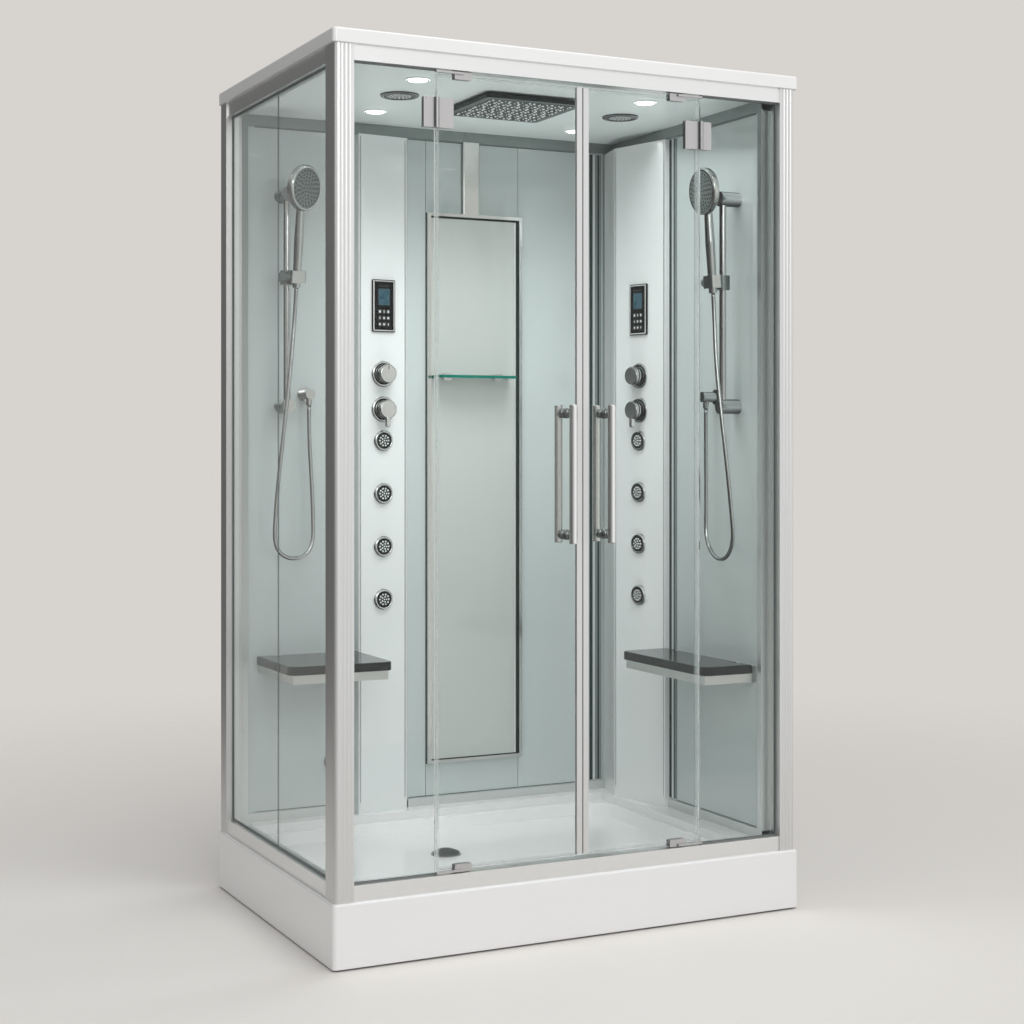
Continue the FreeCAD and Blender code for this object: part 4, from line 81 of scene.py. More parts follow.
HOSE_DIAMETER = 0.011
LEFT_ROUTE = [
    (-0.413, 0.364, 1.330), (-0.413, 0.364, 1.240), (-0.407, 0.361, 1.130),
    (-0.4035, 0.358, 1.032), (-0.403, 0.355, 0.9416), (-0.4376, 0.352, 0.907),
    (-0.4864, 0.348, 0.907), (-0.521, 0.344, 0.9416), (-0.5195, 0.337, 1.033),
    (-0.512, 0.328, 1.145), (-0.501, 0.320, 1.260), (-0.489, 0.318, 1.370),
    (-0.478, 0.319, 1.480), (-0.468, 0.3221, 1.5911), (-0.468, 0.3127, 1.6504),
]
RIGHT_ROUTE = [
    (0.536, -0.178, 1.320), (0.536, -0.178, 1.230), (0.5355, -0.1805, 1.125),
    (0.533, -0.1845, 1.035), (0.530, -0.1865, 0.9622), (0.526, -0.2357, 0.913),
    (0.518, -0.3053, 0.913), (0.511, -0.3545, 0.9622), (0.504, -0.353, 1.050),
    (0.495, -0.345, 1.170), (0.4875, -0.328, 1.310), (0.484, -0.308, 1.450),
    (0.4883, -0.295, 1.5652), (0.4841, -0.295, 1.6251),
]
# The route, and a place at its slider, which is not used
HOSES = {
    "left": (LEFT_ROUTE, (-0.5353, 0.364, 1.3667)),
    "right": (RIGHT_ROUTE, (0.536, -0.3936, 1.4278)),
}


def route_line(route, steps=14):
    """Points along the quadratic spline that the route controls."""
    count = len(route)
    knots = [0.0, 0.0] + [float(i) for i in range(count - 1)] + [count - 2.0] * 2
    points = [Vector(p) for p in route]
    line = []
    for span in range(count - 2):
        for step in range(steps):
            t = span + step / steps
            a, b, c = points[span:span + 3]
            k = knots[span + 1:span + 5]
            ab = a.lerp(b, (t - k[0]) / (k[2] - k[0]))
            bc = b.lerp(c, (t - k[1]) / (k[3] - k[1]))
            line.append(ab.lerp(bc, (t - k[1]) / (k[2] - k[1])))
    line.append(points[-1])
    return line


def tube_mesh(name, line, radius, sides=20):
    """A round tube of that radius along the line, with both ends closed."""
    mesh = bpy.data.meshes.new(name)
    shape = bmesh.new()
    side = Vector((0, 1, 0))
    rings = []
    for i, point in enumerate(line):
        ahead = line[min(i + 1, len(line) - 1)] - line[max(i - 1, 0)]
        ahead.normalize()
        side = (side - ahead * side.dot(ahead)).normalized()
        up = ahead.cross(side)
        turns = [2 * math.pi * j / sides for j in range(sides)]
        rings.append([
            shape.verts.new(point + (side * math.cos(a) + up * math.sin(a)) * radius)
            for a in turns
        ])
    for lower, upper in zip(rings, rings[1:]):
        for j in range(sides):
            k = (j + 1) % sides
            shape.faces.new((lower[j], lower[k], upper[k], upper[j]))
    shape.faces.new(list(reversed(rings[0])))
    shape.faces.new(rings[-1])
    bmesh.ops.recalc_face_normals(shape, faces=shape.faces)
    for face in shape.faces:
        face.smooth = len(face.verts) == 4
    shape.to_mesh(mesh)
    shape.free()
    return mesh


def add_hose(side, route):
    line = route_line(route)
    name = side + "_hose_tube"
    hose = bpy.data.objects.new(name, tube_mesh(name, line, HOSE_DIAMETER / 2))
    SCENE.collection.objects.link(hose)
    hose.data.materials.append(MATERIALS["hose_chrome"])
    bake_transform(hose)
    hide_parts(side + "_hose")


def add_hoses():
    for side, (route, end) in HOSES.items():
        add_hose(side, route)


# Stage and light

BACKGROUND = (0.680, 0.655, 0.625)
FLOOR_COLOUR = (0.755, 0.731, 0.703)
FLOOR_RADIUS = 9
FLOOR_FADE = (1.2, 4.5)         # distances at which the floor starts and ends to fade
ROOM_BRIGHT_WAY = (0.62, -0.66, 0.42)
ROOM_LEVELS = ((0.1, (0.12, 0.12, 0.118, 1)), (0.95, (1.0, 1.0, 1.0, 1)))
# Name, place, target, size and watts
LAMPS = (
    ("key", (-1.3, -5.2, 3.4), (0.1, -0.2, 1.0), (2.4, 2.4), 51),
    ("top", (0.3, -0.6, 5.0), (0, 0, 1.0), (3.0, 3.0), 36),
    ("left_fill", (-4.6, -1.6, 2.9), (0, 0, 1.2), (1.5, 3.0), 11.5),
)
# The same, and the spread in degrees; these stand for the cabin's own lights and aren't seen themselves
INSIDE_LAMPS = (
    ("inside", (0.05, -0.15, 2.06), (0.05, 0, 1.0), (1.0, 0.5), 5.2, 116),
    ("upward", (0.05, -0.1, 0.4), (0.05, -0.05, 2.0), (0.8, 0.5), 1.7, 70),
)


def link(tree, a, b):
    tree.links.new(a, b)


def add_world():
    """A pale backdrop, and for reflections a room that is brighter towards the front right."""
    world = bpy.data.worlds.new("studio")
    SCENE.world = world
    world.use_nodes = True
    tree = world.node_tree
    tree.nodes.clear()
    out = tree.nodes.new("ShaderNodeOutputWorld")
    path = tree.nodes.new("ShaderNodeLightPath")
    seen = tree.nodes.new("ShaderNodeMath")
    seen.operation = "MAXIMUM"
    link(tree, path.outputs["Is Camera Ray"], seen.inputs[0])
    link(tree, path.outputs["Is Transmission Ray"], seen.inputs[1])
    pale = tree.nodes.new("ShaderNodeBackground")
    pale.inputs["Color"].default_value = (*BACKGROUND, 1)
    room = tree.nodes.new("ShaderNodeBackground")
    room.inputs["Strength"].default_value = 1.0
    place = tree.nodes.new("ShaderNodeTexCoord")
    along = tree.nodes.new("ShaderNodeVectorMath")
    along.operation = "DOT_PRODUCT"
    along.inputs[1].default_value = ROOM_BRIGHT_WAY
    link(tree, place.outputs["Generated"], along.inputs[0])
    ramp = tree.nodes.new("ShaderNodeValToRGB")
    for stop, (position, colour) in zip(ramp.color_ramp.elements, ROOM_LEVELS):
        stop.position = position
        stop.color = colour
    spread = tree.nodes.new("ShaderNodeMapRange")
    spread.inputs["From Min"].default_value = -1
    spread.inputs["From Max"].default_value = 1
    link(tree, along.outputs["Value"], spread.inputs["Value"])
    link(tree, spread.outputs["Result"], ramp.inputs["Fac"])
    link(tree, ramp.outputs["Color"], room.inputs["Color"])
    mix = tree.nodes.new("ShaderNodeMixShader")
    link(tree, seen.outputs[0], mix.inputs["Fac"])
    link(tree, room.outputs[0], mix.inputs[1])
    link(tree, pale.outputs[0], mix.inputs[2])
    link(tree, mix.outputs[0], out.inputs["Surface"])


def add_lamp(name, place, target, size, power):
    data = bpy.data.lights.new(name, "AREA")
    data.shape = "RECTANGLE"
    data.size, data.size_y = size
    data.energy = power
    lamp = bpy.data.objects.new(name, data)
    lamp.location = place
    aim = Vector(target) - Vector(place)
    lamp.rotation_euler = aim.to_track_quat("-Z", "Y").to_euler()
    SCENE.collection.objects.link(lamp)
    return lamp


def add_lamps():
    for lamp in LAMPS:
        add_lamp(*lamp)
    for *lamp, spread in INSIDE_LAMPS:
        light = add_lamp(*lamp)
        light.data.spread = math.radians(spread)
        light.visible_camera = light.visible_glossy = light.visible_transmission = False


def add_floor():
    """A pale floor that fades into the background away from the cabin."""
    mesh = bpy.data.meshes.new("studio_floor")
    shape = bmesh.new()
    bmesh.ops.create_circle(shape, cap_ends=True, radius=FLOOR_RADIUS, segments=96)
    shape.to_mesh(mesh)
    shape.free()
    floor = bpy.data.objects.new("studio_floor", mesh)
    SCENE.collection.objects.link(floor)
    material = bpy.data.materials.new("studio_floor")
    material.use_nodes = True
    tree = material.node_tree
    tree.nodes.clear()
    out = tree.nodes.new("ShaderNodeOutputMaterial")
    diffuse = tree.nodes.new("ShaderNodeBsdfDiffuse")
    diffuse.inputs["Color"].default_value = (*FLOOR_COLOUR, 1)
    clear = tree.nodes.new("ShaderNodeBsdfTransparent")
    place = tree.nodes.new("ShaderNodeTexCoord")
    length = tree.nodes.new("ShaderNodeVectorMath")
    length.operation = "LENGTH"
    link(tree, place.outputs["Object"], length.inputs[0])
    fade = tree.nodes.new("ShaderNodeMapRange")
    fade.interpolation_type = "SMOOTHSTEP"
    fade.inputs["From Min"].default_value, fade.inputs["From Max"].default_value = FLOOR_FADE
    link(tree, length.outputs["Value"], fade.inputs["Value"])
    mix = tree.nodes.new("ShaderNodeMixShader")
    link(tree, fade.outputs["Result"], mix.inputs["Fac"])
    link(tree, diffuse.outputs[0], mix.inputs[1])
    link(tree, clear.outputs[0], mix.inputs[2])
    link(tree, mix.outputs[0], out.inputs["Surface"])
    floor.data.materials.append(material)


# Materials

class Finish:
    """A node material whose colour, gloss and surface vary a little over the piece."""

    def __init__(self, name, colour, metallic=0.0, roughness=0.4):
        self.material = bpy.data.materials.new(name)
        self.material.use_nodes = True
        self.tree = self.material.node_tree
        self.shader = self.tree.nodes["Principled BSDF"]
        self.output = self.tree.nodes["Material Output"]
        self.colour = colour
        self.roughness = roughness
        self.shader.inputs["Base Color"].default_value = (*colour, 1)
        self.shader.inputs["Metallic"].default_value = metallic
        self.shader.inputs["Roughness"].default_value = roughness

    def node(self, kind, **values):
        """A new node whose inputs, named in lower case, take the values."""
        found = self.tree.nodes.new(kind)
        for key, value in values.items():
            found.inputs[key.replace("_", " ").title()].default_value = value
        return found

    def set(self, **values):
        """Constant values straight on the shader's own sockets."""
        for key, value in values.items():
            socket = key.replace("_", " ").title().replace("Ior", "IOR")
            self.shader.inputs[socket].default_value = value
        return self

    def noise(self, scale, stretch=(1, 1, 1), detail=3):
        """Noise over the piece, finer along an axis by that axis's stretch."""
        place = self.node("ShaderNodeTexCoord")
        mapping = self.node("ShaderNodeMapping", scale=stretch)
        link(self.tree, place.outputs["Object"], mapping.inputs["Vector"])
        noise = self.node("ShaderNodeTexNoise", scale=scale, detail=detail)
        link(self.tree, mapping.outputs["Vector"], noise.inputs["Vector"])
        return noise.outputs["Fac"]

    def ranged(self, value, low, high):
        """The noise, spread over low to high."""
        spread = self.node("ShaderNodeMapRange", from_min=0.3, from_max=0.7, to_min=low, to_max=high)
        link(self.tree, value, spread.inputs["Value"])
        return spread.outputs["Result"]

    def vary_colour(self, value, amount):
        mix = self.tree.nodes.new("ShaderNodeMix")
        mix.data_type = "RGBA"
        mix.inputs["A"].default_value = (*[c * (1 - amount) for c in self.colour], 1)
        mix.inputs["B"].default_value = (*[min(1, c * (1 + amount)) for c in self.colour], 1)
        link(self.tree, self.ranged(value, 0, 1), mix.inputs["Factor"])
        link(self.tree, mix.outputs["Result"], self.shader.inputs["Base Color"])
        return self

    def vary_roughness(self, value, amount):
        low = max(0.01, self.roughness - amount)
        link(self.tree, self.ranged(value, low, self.roughness + amount), self.shader.inputs["Roughness"])
        return self

    def bump(self, value, strength, distance):
        bump = self.node("ShaderNodeBump", strength=strength, distance=distance)
        link(self.tree, value, bump.inputs["Height"])
        link(self.tree, bump.outputs["Normal"], self.shader.inputs["Normal"])
        return self


def moulded(name, colour, roughness=0.35, grain=700, depth=0.00003, coat=0.0):
    """Plastic, rubber or acrylic with a very fine grain, and a clear coat where one is asked for."""
    made = Finish(name, colour, roughness=roughness)
    made.vary_colour(made.noise(5), 0.004)
    made.vary_roughness(made.noise(18), 0.008)
    made.bump(made.noise(grain), 0.15, depth)
    if coat:
        made.set(coat_weight=coat, coat_roughness=0.04)
    return made.material


def brushed(name, colour, roughness=0.3, along=(1, 1, 300), metallic=1.0):
    """Metal with fine lines that run where the stretch is small."""
    made = Finish(name, colour, metallic=metallic, roughness=roughness)
    lines = made.noise(3, along, detail=4)
    made.vary_colour(lines, 0.008)
    made.vary_roughness(lines, 0.012)
    made.bump(lines, 0.015, 0.000002)
    return made.material


# Painted reflection bands of polished metal, set in its colour rather than cast by the lamps: how far a surface
# faces the way set just below, from away to towards, and its level there
SHINE_WAY = (0.7, 0.12, 0.7)
PAINTED_REFLECTION = (
    (0.0, 0.30), (0.14, 0.05), (0.27, 0.50), (0.40, 0.95),
    (0.55, 0.80), (0.70, 1.0), (0.80, 0.08), (0.93, 0.70),
)


def chromed(name, colour, roughness=0.1, depth=1.0):
    """Polished metal with painted reflection bands: its colour runs dark and bright by which way the surface
    faces, standing for the bands that a studio leaves on its turns; depth 1 is their full contrast.
    """
    made = Finish(name, colour, metallic=1.0, roughness=roughness)
    surface = made.node("ShaderNodeNewGeometry")
    along = made.node("ShaderNodeVectorMath")
    along.operation = "DOT_PRODUCT"
    along.inputs[1].default_value = SHINE_WAY
    link(made.tree, surface.outputs["Normal"], along.inputs[0])
    spread = made.node("ShaderNodeMapRange", from_min=-1, from_max=1)
    link(made.tree, along.outputs["Value"], spread.inputs["Value"])
    ramp = made.node("ShaderNodeValToRGB")
    stops = ramp.color_ramp.elements
    while len(stops) < len(PAINTED_REFLECTION):
        stops.new(0.5)
    for stop, (position, level) in zip(stops, PAINTED_REFLECTION):
        stop.position = position
        level = 1 - (1 - level) * depth
        stop.color = (*[c * level for c in colour], 1)
    link(made.tree, spread.outputs["Result"], ramp.inputs["Fac"])
    link(made.tree, ramp.outputs["Color"], made.shader.inputs["Base Color"])
    made.vary_roughness(made.noise(14), 0.02)
    return made.material


def painted_edge_shade(name, colour, edge, roughness=0.3):
    """Satin plates whose cut edges, across their own front and back, are painted darker by the way they face:
    painted shade.
    """
    made = Finish(name, colour, metallic=0.6, roughness=roughness)
    place = made.node("ShaderNodeTexCoord")
    split = made.node("ShaderNodeSeparateXYZ")
    link(made.tree, place.outputs["Normal"], split.inputs["Vector"])
    level = made.node("ShaderNodeMath")
    level.operation = "ABSOLUTE"
    link(made.tree, split.outputs["X"], level.inputs[0])
    mix = made.tree.nodes.new("ShaderNodeMix")
    mix.data_type = "RGBA"
    mix.inputs["A"].default_value = (*colour, 1)
    mix.inputs["B"].default_value = (*edge, 1)
    link(made.tree, level.outputs[0], mix.inputs["Factor"])
    link(made.tree, mix.outputs["Result"], made.shader.inputs["Base Color"])
    made.vary_roughness(made.noise(60), 0.03)
    made.bump(made.noise(500), 0.04, 0.00001)
    return made.material


def polished(name, colour, roughness=0.08):
    """Smooth metal without the bands."""
    made = Finish(name, colour, metallic=1.0, roughness=roughness)
    made.vary_colour(made.noise(6), 0.01)
    made.vary_roughness(made.noise(14), 0.025)
    return made.material


def clear_glass(name, tint, roughness=0.0):
    """Glass that lets the lamps' light through as it lets the view through."""
    made = Finish(name, tint, roughness=roughness)
    made.set(transmission_weight=1.0, ior=1.22)
    made.vary_colour(made.noise(4), 0.006)
    tree = made.tree
    path = tree.nodes.new("ShaderNodeLightPath")
    either = tree.nodes.new("ShaderNodeMath")
    either.operation = "MAXIMUM"
    link(tree, path.outputs["Is Shadow Ray"], either.inputs[0])
    link(tree, path.outputs["Is Diffuse Ray"], either.inputs[1])
    clear = tree.nodes.new("ShaderNodeBsdfTransparent")
    clear.inputs["Color"].default_value = (*[0.5 + c / 2 for c in tint], 1)
    mix = tree.nodes.new("ShaderNodeMixShader")
    link(tree, either.outputs[0], mix.inputs["Fac"])
    link(tree, made.shader.outputs[0], mix.inputs[1])
    link(tree, clear.outputs[0], mix.inputs[2])
    link(tree, mix.outputs[0], made.output.inputs["Surface"])
    return made.material


def edge_glass(name, tint):
    """Glass whose cut edges glow in a deep tint; the faces stay clear."""
    made = Finish(name, tint, roughness=0.02)
    made.set(transmission_weight=0.9, ior=1.3)
    split = made.node("ShaderNodeSeparateXYZ")
    place = made.node("ShaderNodeNewGeometry")
    link(made.tree, place.outputs["Normal"], split.inputs["Vector"])
    level = made.node("ShaderNodeMath")
    level.operation = "ABSOLUTE"
    link(made.tree, split.outputs["Z"], level.inputs[0])
    grain = made.noise(30)
    mix = made.tree.nodes.new("ShaderNodeMix")
    mix.data_type = "RGBA"
    mix.inputs["A"].default_value = (0.0, 0.22, 0.165, 1)
    mix.inputs["B"].default_value = (0.78, 0.93, 0.90, 1)
    link(made.tree, level.outputs[0], mix.inputs["Factor"])
    link(made.tree, mix.outputs["Result"], made.shader.inputs["Base Color"])
    spread = made.node("ShaderNodeMapRange", from_min=0, from_max=0.6, to_min=0.35, to_max=1.0)
    link(made.tree, level.outputs[0], spread.inputs["Value"])
    link(made.tree, spread.outputs["Result"], made.shader.inputs["Transmission Weight"])
    made.bump(grain, 0.02, 0.0001)
    return made.material


def black_glass(name, colour):
    """Black that stays black in a bright room."""
    made = Finish(name, colour, roughness=0.3)
    made.vary_roughness(made.noise(25), 0.03)
    made.vary_colour(made.noise(40), 0.05)
    made.set(specular_ior_level=0.12)
    return made.material


# Heights over which the painted shade of the wall profiles deepens
SHADED_FROM, SHADED_TO = 0.3, 1.9       # heights in metres


def painted_height_shade(name, low, high):
    """Satin metal painted paler near the tray and darker under the ceiling: painted light and shade by height.
    """
    made = Finish(name, low, metallic=0.7, roughness=0.3)
    place = made.node("ShaderNodeTexCoord")
    split = made.node("ShaderNodeSeparateXYZ")
    link(made.tree, place.outputs["Object"], split.inputs["Vector"])
    spread = made.node("ShaderNodeMapRange", from_min=SHADED_FROM, from_max=SHADED_TO)
    link(made.tree, split.outputs["Z"], spread.inputs["Value"])
    mix = made.tree.nodes.new("ShaderNodeMix")
    mix.data_type = "RGBA"
    mix.inputs["A"].default_value = (*low, 1)
    mix.inputs["B"].default_value = (*high, 1)
    link(made.tree, spread.outputs["Result"], mix.inputs["Factor"])
    link(made.tree, mix.outputs["Result"], made.shader.inputs["Base Color"])
    made.vary_roughness(made.noise(5), 0.03)
    return made.material


def thin_seal(name, colour, cover):
    """A clear soft strip that veils what lies behind it a little."""
    made = Finish(name, colour, roughness=0.25)
    made.vary_colour(made.noise(3), 0.03)
    made.vary_roughness(made.noise(4), 0.05)
    made.set(alpha=cover)
    return made.material


def glowing(name, colour, strength):
    """A lens or a display that gives light of its own."""
    made = Finish(name, colour, roughness=0.3)
    made.vary_roughness(made.noise(40), 0.05)
    made.set(emission_color=(*colour, 1), emission_strength=strength)
    return made.material


def back_painted(name, colour):
    """White glass panels: a smooth coat over an even colour."""
    made = Finish(name, colour, roughness=0.12)
    made.vary_colour(made.noise(1.5), 0.015)
    made.vary_roughness(made.noise(6), 0.03)
    made.set(coat_weight=0.6, coat_roughness=0.02)
    return made.material


MATERIALS = {
    "tray_acrylic": moulded("tray_acrylic", (0.80, 0.80, 0.80), 0.18, coat=0.4),
    "galvanised_steel": brushed("galvanised_steel", (0.55, 0.56, 0.57), 0.5, (8, 8, 8)),
    "drain_plastic": moulded("drain_plastic", (0.22, 0.22, 0.23), 0.5),
    "drain_chrome": polished("drain_chrome", (0.16, 0.165, 0.165), 0.2),
    "aluminium_upright": brushed("aluminium_upright", (0.68, 0.68, 0.675), 0.4, (260, 260, 0.6)),
    "aluminium_level": brushed("aluminium_level", (0.80, 0.80, 0.795), 0.3, (0.6, 0.6, 260)),
    # The wall profiles run from pale by the tray to dark under the ceiling: painted shade.
    "wall_profile": painted_height_shade("wall_profile", (0.66, 0.685, 0.68), (0.27, 0.305, 0.30)),
    "gasket_rubber": moulded("gasket_rubber", (0.17, 0.185, 0.185), 0.5),
    "clear_glass": clear_glass("clear_glass", (0.94, 0.968, 0.962)),
    "shelf_glass": edge_glass("shelf_glass", (0.42, 0.80, 0.72)),
    "seal_clear": thin_seal("seal_clear", (0.60, 0.66, 0.65), 0.12),
    # Hinge plates: their side edges are painted nearly black as shade.
    "hinge_steel": painted_edge_shade("hinge_steel", (0.50, 0.49, 0.49), (0.03, 0.035, 0.035)),
    # The chrome finishes carry painted reflection bands in their colour.
    "chrome": chromed("chrome", (0.78, 0.79, 0.79), 0.12),
    "chromed_plastic": chromed("chromed_plastic", (0.74, 0.77, 0.765), 0.16),
    "hose_chrome": chromed("hose_chrome", (0.66, 0.68, 0.68), 0.18),
    "white_glass": back_painted("white_glass", (0.515, 0.57, 0.566)),
    "column_white": back_painted("column_white", (0.76, 0.785, 0.785)),
    "control_black": black_glass("control_black", (0.006, 0.006, 0.007)),
    # The mirror doesn't reflect: its even grey-green colour is a painted reflection.
    "mirror": back_painted("mirror", (0.50, 0.53, 0.505)),
    "mirror_trim": brushed("mirror_trim", (0.78, 0.78, 0.77), 0.18, (260, 260, 0.6)),
    "seat_dark": moulded("seat_dark", (0.010, 0.013, 0.0125), 0.16, grain=420, coat=0.1),
    "seat_metal": brushed("seat_metal", (0.62, 0.63, 0.62), 0.3, (0.6, 0.6, 260)),
    "ceiling_white": moulded("ceiling_white", (0.76, 0.815, 0.805), 0.3),
    "roof_white": moulded("roof_white", (0.83, 0.83, 0.825), 0.2, coat=0.4),
    "rain_plate": black_glass("rain_plate", (0.022, 0.029, 0.028)),
    "fitting_plastic": moulded("fitting_plastic", (0.30, 0.31, 0.31), 0.45),
    "light_lens": glowing("light_lens", (1.0, 0.98, 0.94), 2.5),
    "generator_case": brushed("generator_case", (0.62, 0.63, 0.64), 0.4, (0.6, 0.6, 260)),
    "bezel": polished("bezel", (0.92, 0.92, 0.92), 0.2),
    "screen_rim": moulded("screen_rim", (0.035, 0.04, 0.045), 0.2),
    "screen": glowing("screen", (0.02, 0.062, 0.085), 0.3),
    "key_dim": moulded("key_dim", (0.10, 0.10, 0.10), 0.4),
    "key_pad": moulded("key_pad", (0.028, 0.03, 0.03), 0.3),
    "key_mark": glowing("key_mark", (0.50, 0.53, 0.52), 0.25),
    # The chrome finishes carry painted reflection bands in their colour.
    "fitting_chrome": chromed("fitting_chrome", (0.95, 0.96, 0.96), 0.1),
    "knob_chrome": chromed("knob_chrome", (0.97, 0.97, 0.97), 0.22, 0.85),
    "knob_side": chromed("knob_side", (0.62, 0.63, 0.63), 0.08),
    # A flat black that paints shade in grooves, steps and notches and on nozzles, and paints dark reflection
    # bands round the knobs' sides.
    "painted_shade_and_reflection": black_glass("painted_shade_and_reflection", (0.012, 0.013, 0.013)),
    "sieve": moulded("sieve", (0.035, 0.04, 0.04), 0.3),
    "spray_face": moulded("spray_face", (0.13, 0.155, 0.148), 0.35),
    "nozzle": moulded("nozzle", (0.82, 0.86, 0.85), 0.3),
    "rain_border": moulded("rain_border", (0.085, 0.10, 0.098), 0.35),
    # The chrome finishes carry painted reflection bands in their colour.
    "collar_dark": chromed("collar_dark", (0.36, 0.38, 0.375), 0.25, 0.8),
    "handle_steel": chromed("handle_steel", (0.86, 0.86, 0.85), 0.2, 0.72),
    "satin_grey": brushed("satin_grey", (0.17, 0.195, 0.19), 0.36, (3, 3, 180)),
    "mirror_shade": black_glass("mirror_shade", (0.016, 0.028, 0.026)),
    "wall_grey": moulded("wall_grey", (0.20, 0.235, 0.23), 0.35),
    "seam_grey": moulded("seam_grey", (0.13, 0.16, 0.155), 0.4),
    "bright_line": brushed("bright_line", (0.86, 0.87, 0.87), 0.3, (2, 2, 2)),
    "light_rim": moulded("light_rim", (0.62, 0.66, 0.65), 0.3),
    "pipe_copper": brushed("pipe_copper", (0.72, 0.43, 0.30), 0.3, (60, 60, 60)),
}

# Nodes that look different from the rest of their slot
NODE_FINISH = {
    "aluminium_upright": ("corner_posts", "left_door_strip", "right_door_strip"),
    "aluminium_level": ("frame_rails",),
    "handle_steel": ("left_door_handle", "right_door_handle"),
    "satin_grey": ("left_slider", "right_slider"),
    "wall_profile": ("back_wall_frame", "side_wall_frame"),
}


def paint_nodes():
    """Every CAD node takes the finish of its slot, or one of its own."""
    own = {name: finish for finish, names in NODE_FINISH.items() for name in names}
    slots = {part["node"]: part["material_slot"] for part in frame["record"]["subparts"]}
    for name, node in NODES.items():
        finish = MATERIALS[own.get(name) or slots[name]]
        if not node.material_slots:
            node.data.materials.append(finish)
        for place in node.material_slots:
            place.material = finish


# Small shapes; sizes in millimetres, x across, y up and z out of the face they sit on

def facing(x, y, z, angle):
    """A place on an upright face whose normal is turned by that angle from the front."""
    a = math.radians(angle)
    across, out = Vector((math.cos(a), math.sin(a), 0)), Vector((math.sin(a), -math.cos(a), 0))
    turn = Matrix((across, (0, 0, 1), out)).transposed().to_4x4()
    return Matrix.Translation((x / 1000, y / 1000, z / 1000)) @ turn


def hanging(x, y, z):
    """A place on a level face that looks down."""
    turn = Matrix(((1, 0, 0), (0, -1, 0), (0, 0, -1))).to_4x4()
    return Matrix.Translation((x / 1000, y / 1000, z / 1000)) @ turn


class Shape:
    """Collects rounds and plates into one mesh."""

    def __init__(self):
        self.mesh = bmesh.new()
        self.finishes = []

    def _finish(self, material, faces):
        if material not in self.finishes:
            self.finishes.append(material)
        index = self.finishes.index(material)
        for face in faces:
            face.material_index = index

    def lathe(self, material, profile, centre=(0, 0), sides=40, smooth=True):
        """Turns (radius, height) points about the normal through the centre."""
        rings = []
        for radius, height in profile:
            if radius < 1e-6:
                rings.append([self.mesh.verts.new((centre[0], centre[1], height))] * sides)
                continue
            turns = [2 * math.pi * i / sides for i in range(sides)]
            rings.append([
                self.mesh.verts.new((centre[0] + radius * math.cos(a), centre[1] + radius * math.sin(a), height))
                for a in turns
            ])
        faces = []
        for lower, upper in zip(rings, rings[1:]):
            for i in range(sides):
                j = (i + 1) % sides
                corners = []
                for vert in (lower[i], lower[j], upper[j], upper[i]):
                    if vert not in corners:
                        corners.append(vert)
                if len(corners) > 2:
                    face = self.mesh.faces.new(corners)
                    face.smooth = smooth
                    faces.append(face)
        self._finish(material, faces)
        return self

    def plate(self, material, width, height, low, high, corner=1.0, edge=0.4, centre=(0, 0), steps=5):
        """A flat plate with round corners and a small round front edge."""
        rings = []
        for inset, level in ((0, low), (0, high - edge), (edge * 0.3, high - edge * 0.3), (edge, high)):
            ring = []
            w, h, r = width / 2 - inset, height / 2 - inset, max(corner - inset, 0.05)
            for quarter, (sx, sy) in enumerate(((1, 1), (-1, 1), (-1, -1), (1, -1))):
                for step in range(steps + 1):
                    a = math.pi / 2 * (quarter + step / steps)
                    ring.append(self.mesh.verts.new((
                        centre[0] + sx * (w - r) + r * math.cos(a),
                        centre[1] + sy * (h - r) + r * math.sin(a), level,
                    )))
            rings.append(ring)
        faces = []
        count = len(rings[0])
        for lower, upper in zip(rings, rings[1:]):
            for i in range(count):
                j = (i + 1) % count
                faces.append(self.mesh.faces.new((lower[i], lower[j], upper[j], upper[i])))
        faces.append(self.mesh.faces.new(rings[-1]))
        faces.append(self.mesh.faces.new(list(reversed(rings[0]))))
        self._finish(material, faces)
        return self

    def dots(self, material, places, radius, low, high, sides=8):
        """Small domes at the given places."""
        for x, y in places:
            self.lathe(material, [(radius, low), (radius * 0.75, high - (high - low) * 0.25), (0, high)],
                       centre=(x, y), sides=sides)
        return self

    def add(self, name, place, body, slot=None):
        bmesh.ops.recalc_face_normals(self.mesh, faces=self.mesh.faces)
        self.mesh.transform(place @ Matrix.Scale(0.001, 4))
        mesh = bpy.data.meshes.new(name)
        self.mesh.to_mesh(mesh)
        self.mesh.free()
        for material in self.finishes:
            mesh.materials.append(material)
        piece = bpy.data.objects.new(name, mesh)
        SCENE.collection.objects.link(piece)
        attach(piece, body)
        return piece


def ring_places(rings):
    """For each (radius, count) that many places, evenly spread, and one in the middle."""
    return [
        (radius * math.cos(2 * math.pi * i / count), radius * math.sin(2 * math.pi * i / count))
        for radius, count in rings for i in range(count)
    ] + [(0, 0)]


# Detail on the service columns

# Where each column's face crosses its middle, and the face's turn from the front
COLUMN_FACES = {"left": (-191.25, 376.0, 6.65), "right": (533.5, 178.0, -77.5)}
CONTROL_Z, DIVERTER_Z, MIXER_Z = 1614, 1421, 1321
JET_HEIGHTS = (1232, 1082, 932, 782)

SCREEN_Y = 25
DIM_MARKS_Y, DIM_MARKS_X, DIM_MARKS_PITCH, DIM_MARKS = 56, -13, 5.2, 6
KEY_ROWS = (-16.5, -34.5, -52.5)
KEY_COLUMNS = (-13.5, 0, 13.5)
KEY_MARK_WIDTHS = (6.5, 2.6, 5.4)

